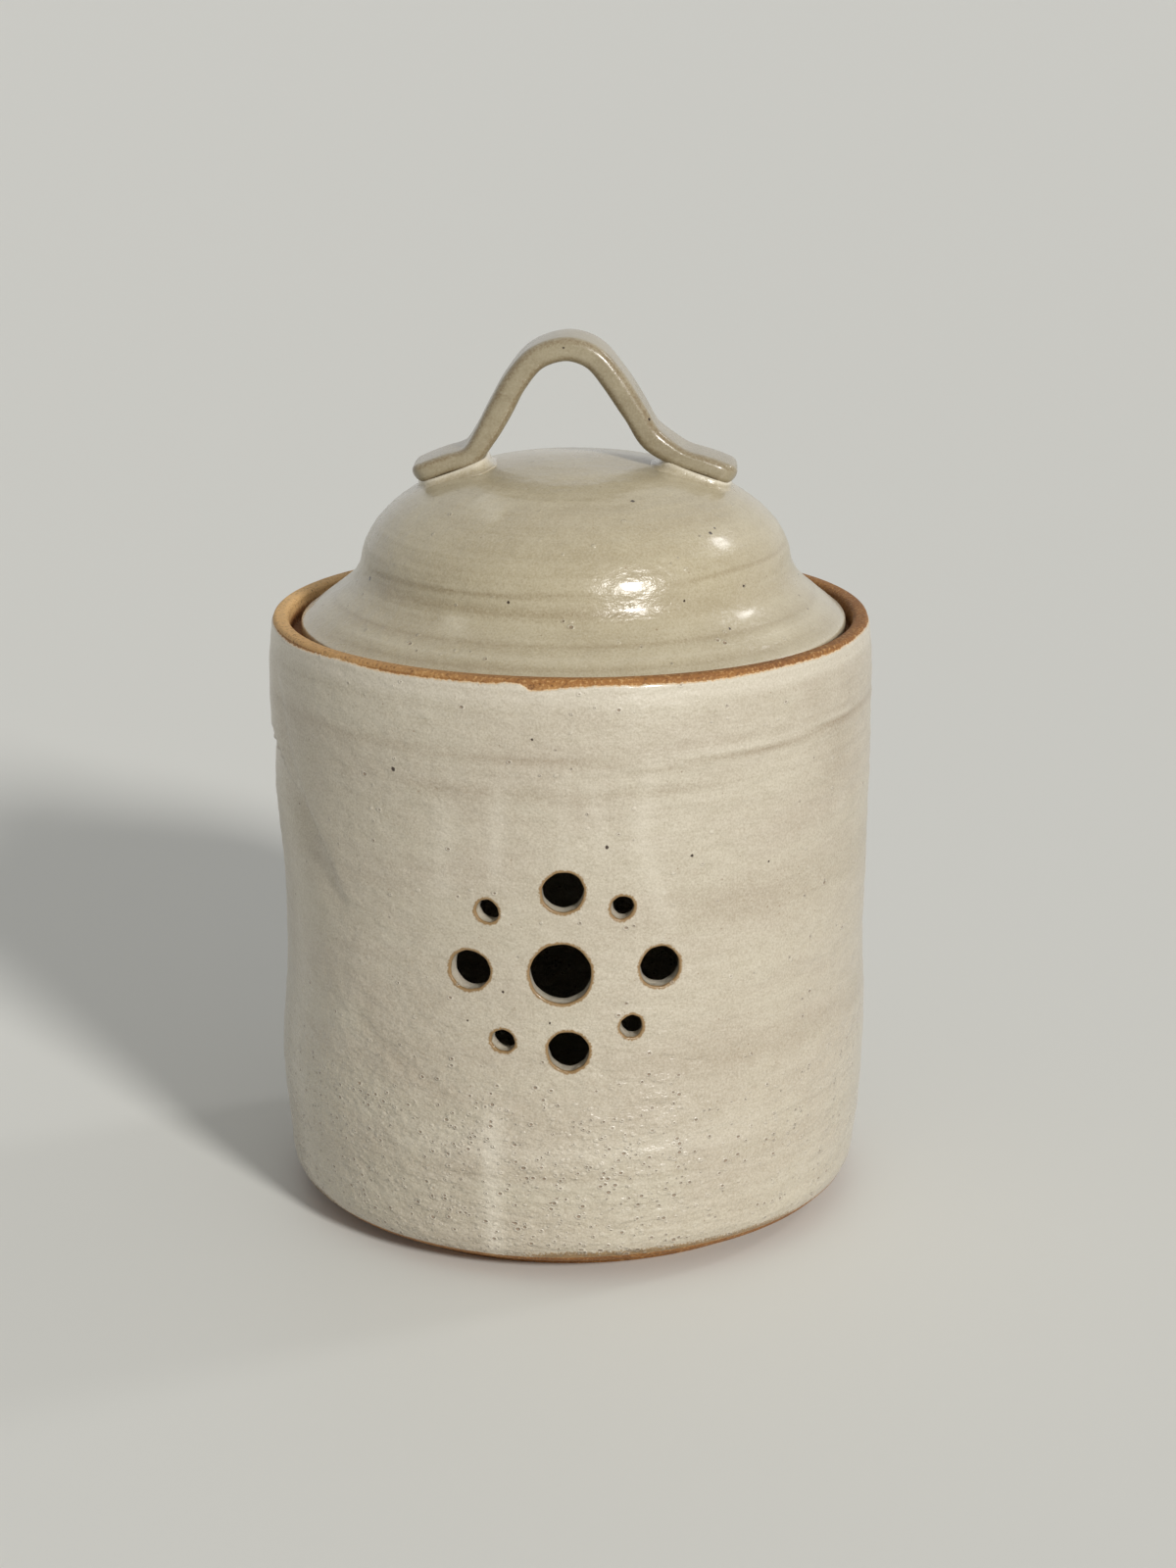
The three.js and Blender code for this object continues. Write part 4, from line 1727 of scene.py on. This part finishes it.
@dataclass(frozen=True)
class GlazeFinish:
    """An oatmeal stoneware glaze over brown clay.

    Attributes:
        slot: the material slot that it stands for, which names its material.
        body: main colour.
        pale: colour where it lies thick.
        dusk: pinkish grey colour where it lies thinner.
        shade: colour in hollows and between the grains; along the jar's pressed crease it is painted shade.
        broken: brown colour where it runs thin over edges.
        breaking: how strongly that brown shows.
        roughness: roughness of the glaze.
        roughness_swing: how much rougher it is in places.
        coat: weight of the glassy top.
        lines: gap between throwing lines.
        lines_tone: how much they darken the glaze.
        lines_relief: how deep they are.
        mottle: size of the clouds.
        grain_tone: how strongly the fine grain shows.
        grain_relief: depth of the fine grain.
        speck_share: share of cells with an iron speck.
        pit_share: share of cells with a pinhole low on the wall.
        pit_height: height below which pinholes are common and the glaze is lumpy.
        rougher_up: how much rougher it is high on the wall.
        calm: heights between which the throwing lines are faint.
        peel_relief: depth of the glaze's uneven, slightly dimpled surface.
        ragged: how ragged the glaze line is.
        specks: places and radii of the single specks that catch the eye.
        clay: the clay under it.
    """

    slot: Slot
    body: Colour
    pale: Colour
    dusk: Colour
    shade: Colour
    broken: Colour
    breaking: float
    roughness: float
    roughness_swing: float
    coat: float
    lines: float
    lines_tone: float
    lines_relief: float
    mottle: float
    grain_tone: float
    grain_relief: float
    speck_share: float
    pit_share: float
    pit_height: float
    rougher_up: float = 0.0
    calm: tuple[float, float] = (0.0, 0.0)
    peel_relief: float = 0.02
    ragged: float = 0.9
    specks: tuple[tuple[tuple[float, float, float], float], ...] = ()
    clay: BareClay = field(default_factory=BareClay)

    iron: Colour = srgb(58, 42, 30)
    freckle: Colour = srgb(128, 100, 72)
    pit: Colour = srgb(128, 101, 74)

    def name(self) -> str:
        """The name of its material."""
        return f"{self.slot.value}_look"

    def spots(self, sheet: Sheet) -> Socket:
        """All iron specks together, scattered and placed ones.

        Args:
            sheet: the material's node tree.

        Returns:
            Their mask.
        """
        scattered = Specks().place(sheet, Cell=5.2, Radius=0.2, Share=self.speck_share)
        mask = scattered["Mask"]
        for spot, radius in self.specks:
            single = PlacedSpeck().place(sheet, Place=spot, Radius=radius)
            mask = sheet.sum("MAXIMUM", mask, single["Mask"])
        return mask

    def pinholes(self, sheet: Sheet) -> tuple[Socket, Socket]:
        """The pinholes, common low on the wall.

        Args:
            sheet: the material's node tree.

        Returns:
            The masks of the holes and of the lips round them.
        """
        height = sheet.part(sheet.place, 2)
        low = sheet.rest(sheet.step(height, self.pit_height * 0.6, self.pit_height))
        clouds = GlazeMottle().place(sheet, Size=22.0, Flatten=2.0)["Clouds"]
        often = sheet.times(low, sheet.between(clouds, 0.2, 1.3))
        often = sheet.times(often, self.unevenness(sheet))
        share = sheet.times(sheet.plus(often, 0.035), self.pit_share)
        flat = sheet.stretched(sheet.place, 1.0, 1.35)
        holes = Specks().place(sheet, Vector=flat, Cell=1.7, Radius=0.45, Share=share)
        return holes["Mask"], holes["Lip"]

    def unevenness(self, sheet: Sheet) -> Socket:
        """How pitted and lumpy a side is: the glaze came out smoother on the right."""
        return sheet.between(sheet.step(sheet.part(sheet.place, 0), 24.0, 44.0), 1.0, 0.25)

    def lowness(self, sheet: Sheet) -> Socket:
        """How low on the form a place lies, 1 where pinholes are common."""
        height = sheet.part(sheet.place, 2)
        return sheet.rest(sheet.step(height, self.pit_height * 0.7, self.pit_height * 1.6))

    def lumps(self, sheet: Sheet) -> Socket:
        """The glaze's dimpled surface, stronger low down.

        Args:
            sheet: the material's node tree.

        Returns:
            The height of its lumps in millimetres.
        """
        level = sheet.stretched(sheet.place, 0.65, 1.25)
        fine = sheet.times(sheet.noise(level, 0.85, 2.0, 0.5), self.peel_relief * 4)
        wide = sheet.times(sheet.noise(level, 0.28, 1.0, 0.5), self.peel_relief * 8)
        low = sheet.times(self.lowness(sheet), self.unevenness(sheet))
        return sheet.times(sheet.plus(fine, wide), sheet.between(low, 0.7, 1.5))

    def liveliness(self, sheet: Sheet) -> Socket:
        """How strongly the throwing lines show, by height.

        Args:
            sheet: the material's node tree.

        Returns:
            Their strength, 0 to 1.
        """
        fade, faint = 14.0, 0.35
        low, high = self.calm
        height = sheet.part(sheet.place, 2)
        above = sheet.step(height, high - fade, high)
        below = sheet.rest(sheet.step(height, low, low + fade))
        return sheet.between(sheet.sum("MAXIMUM", above, below), faint, 1.0)

    def material(self) -> bpy.types.Material:
        """Builds the material.

        Returns:
            The glaze's material, which shows bare clay outside the glaze line.
        """
        made = bpy.data.materials.new(self.name())
        made.use_nodes = True
        made.node_tree.nodes.clear()
        sheet = Sheet(made.node_tree)
        own = sheet.add("ShaderNodeTexCoord").outputs["Object"]
        sheet.place = sheet.vector("MULTIPLY", own, (1 / MM, 1 / MM, 1 / MM))
        line, edge, tone = (
            sheet.add("ShaderNodeAttribute", attribute_name=mark.value).outputs["Fac"] for mark in Mark
        )
        mottle, grain = GlazeMottle(), FineGrain()
        border = GlazeLine().place(sheet, Line=line, Ragged=self.ragged, Band=0.45)
        glazed = border["Glaze"]
        thin = EdgeBreak().place(sheet, Edge=edge)["Thin"]
        lines = ThrowingLines().place(sheet, Spacing=self.lines)["Lines"]
        lines = sheet.times(lines, self.liveliness(sheet))
        wide = mottle.place(sheet, Size=self.mottle, Flatten=2.6)["Clouds"]
        small = mottle.place(sheet, Size=self.mottle / 7, Flatten=1.5)["Clouds"]
        fine = grain.place(sheet, Size=0.5)["Grain"]
        sand = grain.place(sheet, Size=0.75)["Grain"]
        freckles = Specks().place(sheet, Cell=2.3, Radius=0.24, Share=0.5)["Mask"]
        holes, lips = self.pinholes(sheet)

        colour = sheet.mix(wide, self.dusk, self.body)
        colour = sheet.mix(sheet.times(small, 0.16), colour, self.pale)
        lighter = sheet.plus(sheet.times(lines, self.lines_tone), tone)
        lighter = sheet.plus(lighter, sheet.times(fine, self.grain_tone))
        # Paler and darker tones mix toward pale and shade. Along the jar's crease this paints shade, and on
        # the ridge beside it a painted highlight.
        colour = sheet.mix(lighter, colour, self.pale)
        for mask, strength, tint in (
            (lighter, -1.0, self.shade), (thin, self.breaking, self.broken),
            (border["Band"], 0.6, self.clay.light), (freckles, 0.5, self.freckle),
            (lips, 0.35, self.pale), (holes, 0.72, self.pit),
        ):
            colour = sheet.mix(sheet.times(mask, strength), colour, tint)
        colour = sheet.mix(glazed, self.clay.colour(sheet, sand, tone), colour)
        colour = sheet.mix(self.spots(sheet), colour, self.iron)

        rougher = sheet.times(wide, self.roughness_swing)
        high = sheet.rest(self.lowness(sheet))
        rougher = sheet.plus(rougher, sheet.times(high, self.rougher_up))
        glassy = sheet.sum("ADD", rougher, self.roughness, True)
        rough = sheet.between(glazed, self.clay.roughness, glassy)

        height = sheet.plus(sheet.times(lines, self.lines_relief), sheet.times(fine, self.grain_relief))
        height = sheet.plus(height, sheet.times(sheet.times(sand, 0.08), sheet.rest(glazed)))
        height = sheet.plus(height, sheet.times(border["Depth"], 0.12))
        height = sheet.sum("SUBTRACT", height, sheet.times(holes, 0.22))
        height = sheet.plus(height, sheet.times(lips, 0.15))
        height = sheet.plus(height, self.lumps(sheet))
        bump = sheet.add("ShaderNodeBump", {"Strength": 1.0, "Distance": MM, "Height": height})

        shader = sheet.add("ShaderNodeBsdfPrincipled", {
            "Base Color": colour, "Roughness": rough, "Coat Weight": sheet.times(glazed, self.coat),
            "Coat Roughness": 0.12, "IOR": 1.5, "Normal": bump.outputs[0],
        })
        sheet.add("ShaderNodeOutputMaterial", {"Surface": shader.outputs[0]})
        return made


@dataclass
class Keeper:
    """The whole garlic keeper, piece by piece."""

    jar: Jar = field(default_factory=Jar)
    lid: Lid = field(default_factory=Lid)

    def jar_finish(self) -> GlazeFinish:
        """The jar's semi-matt glaze, pinholed low down."""
        spots = (
            (-33.4, 119.6, 0.62), (6.2, 104.8, 0.5), (21.9, 101.3, 0.45), (-12.6, 70.9, 0.36),
            (-19.4, 63.3, 0.3), (-4.1, 64.0, 0.3), (38.5, 96.5, 0.3), (-6.8, 128.5, 0.26),
        )
        return GlazeFinish(
            slot=Slot.JAR,
            body=srgb(193, 184, 164), pale=srgb(222, 214, 198), dusk=srgb(186, 175, 156),
            shade=srgb(152, 135, 112), broken=srgb(140, 107, 58), breaking=0.9,
            roughness=0.25, roughness_swing=0.05, rougher_up=0.16, coat=0.4,
            lines=2.0, lines_tone=0.2, lines_relief=0.03, mottle=38.0,
            grain_tone=0.45, grain_relief=0.02, calm=(34.0, 120.0), peel_relief=0.065,
            speck_share=0.03, pit_share=0.9, pit_height=54.0,
            specks=tuple(
                (tuple(self.jar.outer(degrees, height)[0]), radius)
                for degrees, height, radius in spots
            ),
        )

    def lid_finish(self) -> GlazeFinish:
        """The lid's glossier, browner glaze."""
        spots = (
            (-68.8, 50.2, 153.0, 0.85), (-64.5, 49.8, 153.8, 0.7), (24.2, 31.2, 173.1, 0.6),
            (44.2, 43.4, 166.2, 0.55), (47.2, 42.6, 166.8, 0.4), (-17.2, 50.5, 154.5, 0.4),
            (38.2, 55.4, 147.3, 0.45), (48.5, 50.5, 154.5, 0.45), (28.4, 50.6, 153.8, 0.4),
        )
        return GlazeFinish(
            slot=Slot.LID,
            body=srgb(184, 173, 145), pale=srgb(206, 197, 174), dusk=srgb(173, 161, 133),
            shade=srgb(142, 124, 93), broken=srgb(128, 97, 60), breaking=0.6,
            roughness=0.26, roughness_swing=0.06, coat=0.4,
            lines=1.3, lines_tone=0.2, lines_relief=0.014, mottle=26.0,
            grain_tone=0.4, grain_relief=0.013, peel_relief=0.024,
            speck_share=0.012, pit_share=0.1, pit_height=190.0,
            specks=tuple(
                (tuple(spun(radius, degrees, height) + [self.lid.centre, 0, 0]), size)
                for degrees, radius, height, size in spots
            ),
        )

    def handle_finish(self) -> GlazeFinish:
        """The handle's glossy, darkest glaze."""
        return GlazeFinish(
            slot=Slot.HANDLE,
            body=srgb(159, 148, 122), pale=srgb(186, 176, 154), dusk=srgb(144, 132, 106),
            shade=srgb(122, 106, 80), broken=srgb(116, 92, 60), breaking=0.5,
            roughness=0.25, roughness_swing=0.05, coat=0.2,
            lines=30.0, lines_tone=0.1, lines_relief=0.02, mottle=18.0,
            grain_tone=0.3, grain_relief=0.01, peel_relief=0.018,
            speck_share=0.08, pit_share=0.06, pit_height=60.0,
            specks=(((-1.4, -7.8, 204.3), 0.42), ((18.3, -7.8, 187.8), 0.42)),
        )

    def slip_finish(self) -> GlazeFinish:
        """The pale, glassy pool of glaze on the slip."""
        return GlazeFinish(
            slot=Slot.SLIP,
            body=srgb(182, 171, 144), pale=srgb(222, 214, 195), dusk=srgb(166, 153, 125),
            shade=srgb(146, 128, 98), broken=srgb(128, 100, 64), breaking=0.6,
            roughness=0.18, roughness_swing=0.06, coat=0.5,
            lines=30.0, lines_tone=0.1, lines_relief=0.03, mottle=9.0,
            grain_tone=0.25, grain_relief=0.02,
            speck_share=0.1, pit_share=0.2, pit_height=60.0,
        )

    def dress(self, piece: Piece, finish: GlazeFinish, body: Body, node: str) -> None:
        """Gives a piece its finish and its place in the frame.

        Args:
            piece: the piece.
            finish: its glaze.
            body: the body that it rides on.
            node: the frame's part that it stands for.
        """
        known = bpy.data.materials.get(finish.name())
        piece.data.materials.append(known or finish.material())
        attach(piece, body.value)
        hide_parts(node)
        log.info("%s: %d faces", piece.name, len(piece.data.polygons))

    def build(self) -> None:
        """Builds and dresses every piece."""
        handle = StrapHandle(self.lid)
        self.dress(self.jar.mesh(), self.jar_finish(), Body.JAR, "jar")
        self.dress(self.lid.mesh(), self.lid_finish(), Body.LID, "lid")
        self.dress(handle.mesh(), self.handle_finish(), Body.LID, "handle")
        for side in Side:
            bed = SlipBed(handle, side).mesh()
            self.dress(bed, self.slip_finish(), Body.LID, f"slip_bed_{side.name.lower()}")


@dataclass(frozen=True)
class Studio:
    """The camera, the pale floor, the soft lamps and the pale surroundings.

    Attributes:
        image_width: width of the picture, in pixels.
        image_height: height of the picture, in pixels.
        focal_pixels: focal length, in pixels.
        camera_place: where the camera stands, in metres.
        pitch: how far it looks down, in degrees.
        yaw: how far it looks to the right, in degrees.
        roll: how far it is rolled, in degrees.
        floor_size: side of the floor, in metres.
    """

    image_width: int = 1200
    image_height: int = 1600
    focal_pixels: float = 3287.0
    camera_place: tuple[float, float, float] = (0.0, -0.7396, 0.3198)
    pitch: float = 16.68
    yaw: float = 0.307
    roll: float = -0.177
    floor_size: float = 12.0

    def camera(self) -> None:
        """Makes the camera at the photograph's viewing angle."""
        lens = bpy.data.cameras.new("photo_view")
        lens.sensor_width = 36.0
        lens.sensor_fit = "AUTO"
        lens.lens = self.focal_pixels / max(self.image_width, self.image_height) * lens.sensor_width
        pitch, yaw, roll = (math.radians(angle) for angle in (self.pitch, self.yaw, self.roll))
        ahead = Vector((math.sin(yaw) * math.cos(pitch), math.cos(yaw) * math.cos(pitch), -math.sin(pitch)))
        right = Vector((math.cos(yaw), -math.sin(yaw), 0.0))
        up = right.cross(ahead)
        level = math.cos(roll) * right + math.sin(roll) * up
        upright = -math.sin(roll) * right + math.cos(roll) * up
        columns = Matrix((level, upright, -ahead)).transposed()
        made = bpy.data.objects.new("photo_view", lens)
        made.matrix_world = Matrix.Translation(self.camera_place) @ columns.to_4x4()
        bpy.context.scene.collection.objects.link(made)
        bpy.context.scene.camera = made

    def floor(self) -> None:
        """Makes the plain pale floor."""
        half = self.floor_size / 2
        mesh = bpy.data.meshes.new("studio_floor")
        corners = [(-half, -half, 0), (half, -half, 0), (half, half, 0), (-half, half, 0)]
        mesh.from_pydata(corners, [], [(0, 1, 2, 3)])
        made = bpy.data.objects.new("studio_floor", mesh)
        material = bpy.data.materials.new("studio_floor")
        material.use_nodes = True
        shader = material.node_tree.nodes["Principled BSDF"]
        shader.inputs["Base Color"].default_value = srgb(226, 226, 221)
        shader.inputs["Roughness"].default_value = 0.6
        mesh.materials.append(material)
        bpy.context.scene.collection.objects.link(made)

    def surroundings(self) -> None:
        """Makes the pale surroundings that also fill the shadows."""
        world = bpy.data.worlds.new("studio")
        world.use_nodes = True
        world.node_tree.nodes.clear()
        sheet = Sheet(world.node_tree)
        path = sheet.add("ShaderNodeLightPath").outputs
        seen = sheet.sum("MAXIMUM", path["Is Camera Ray"], path["Is Glossy Ray"])
        seen = sheet.sum("MAXIMUM", seen, path["Is Transmission Ray"])
        toward = sheet.add("ShaderNodeTexCoord").outputs["Generated"]
        back = sheet.add("ShaderNodeSeparateXYZ", {0: toward}).outputs[1]
        mirrored = sheet.between(sheet.step(back, -0.3, 0.4), 0.3, 0.8)
        strength = sheet.between(path["Is Glossy Ray"], 0.75, mirrored)
        strength = sheet.between(seen, 0.36, strength)
        sky = sheet.add("ShaderNodeBackground", {"Color": srgb(250, 250, 248), "Strength": strength})
        sheet.add("ShaderNodeOutputWorld", {"Surface": sky.outputs[0]})
        bpy.context.scene.world = world

    def lamp(
        self, name: str, side: float, height: float, spread: float, strength: float, tint: tuple
    ) -> None:
        """Makes a soft lamp that stands so far away that it lights everything evenly.

        Args:
            name: its name.
            side: its place in degrees from the front, positive to the right.
            height: how high it stands, in degrees.
            spread: how wide it looks, in degrees.
            strength: how strongly it lights a surface that faces it.
            tint: its colour.
        """
        lamp = bpy.data.lights.new(name, "SUN")
        lamp.angle = math.radians(spread)
        lamp.energy = strength
        lamp.color = tint
        rise = math.radians(height)
        toward = Vector(spun(math.cos(rise), side, math.sin(rise)))
        made = bpy.data.objects.new(name, lamp)
        made.location = toward
        made.rotation_euler = toward.to_track_quat("Z", "Y").to_euler()
        made.visible_camera = False
        bpy.context.scene.collection.objects.link(made)

    def build(self) -> None:
        """Makes it all."""
        self.camera()
        self.floor()
        self.surroundings()
        self.lamp("main_light", 32.0, 27.0, 9.0, 2.4, (1.0, 0.98, 0.95))
        self.lamp("side_light", 114.0, 38.0, 8.0, 0.24, (1.0, 1.0, 1.0))
        bpy.context.scene.view_settings.view_transform = "Standard"


def main() -> None:
    """Sets up the studio and builds the keeper."""
    logging.basicConfig(level=logging.INFO, format="%(name)s: %(message)s")
    Studio().build()
    Keeper().build()


if __name__ == "__main__":
    main()
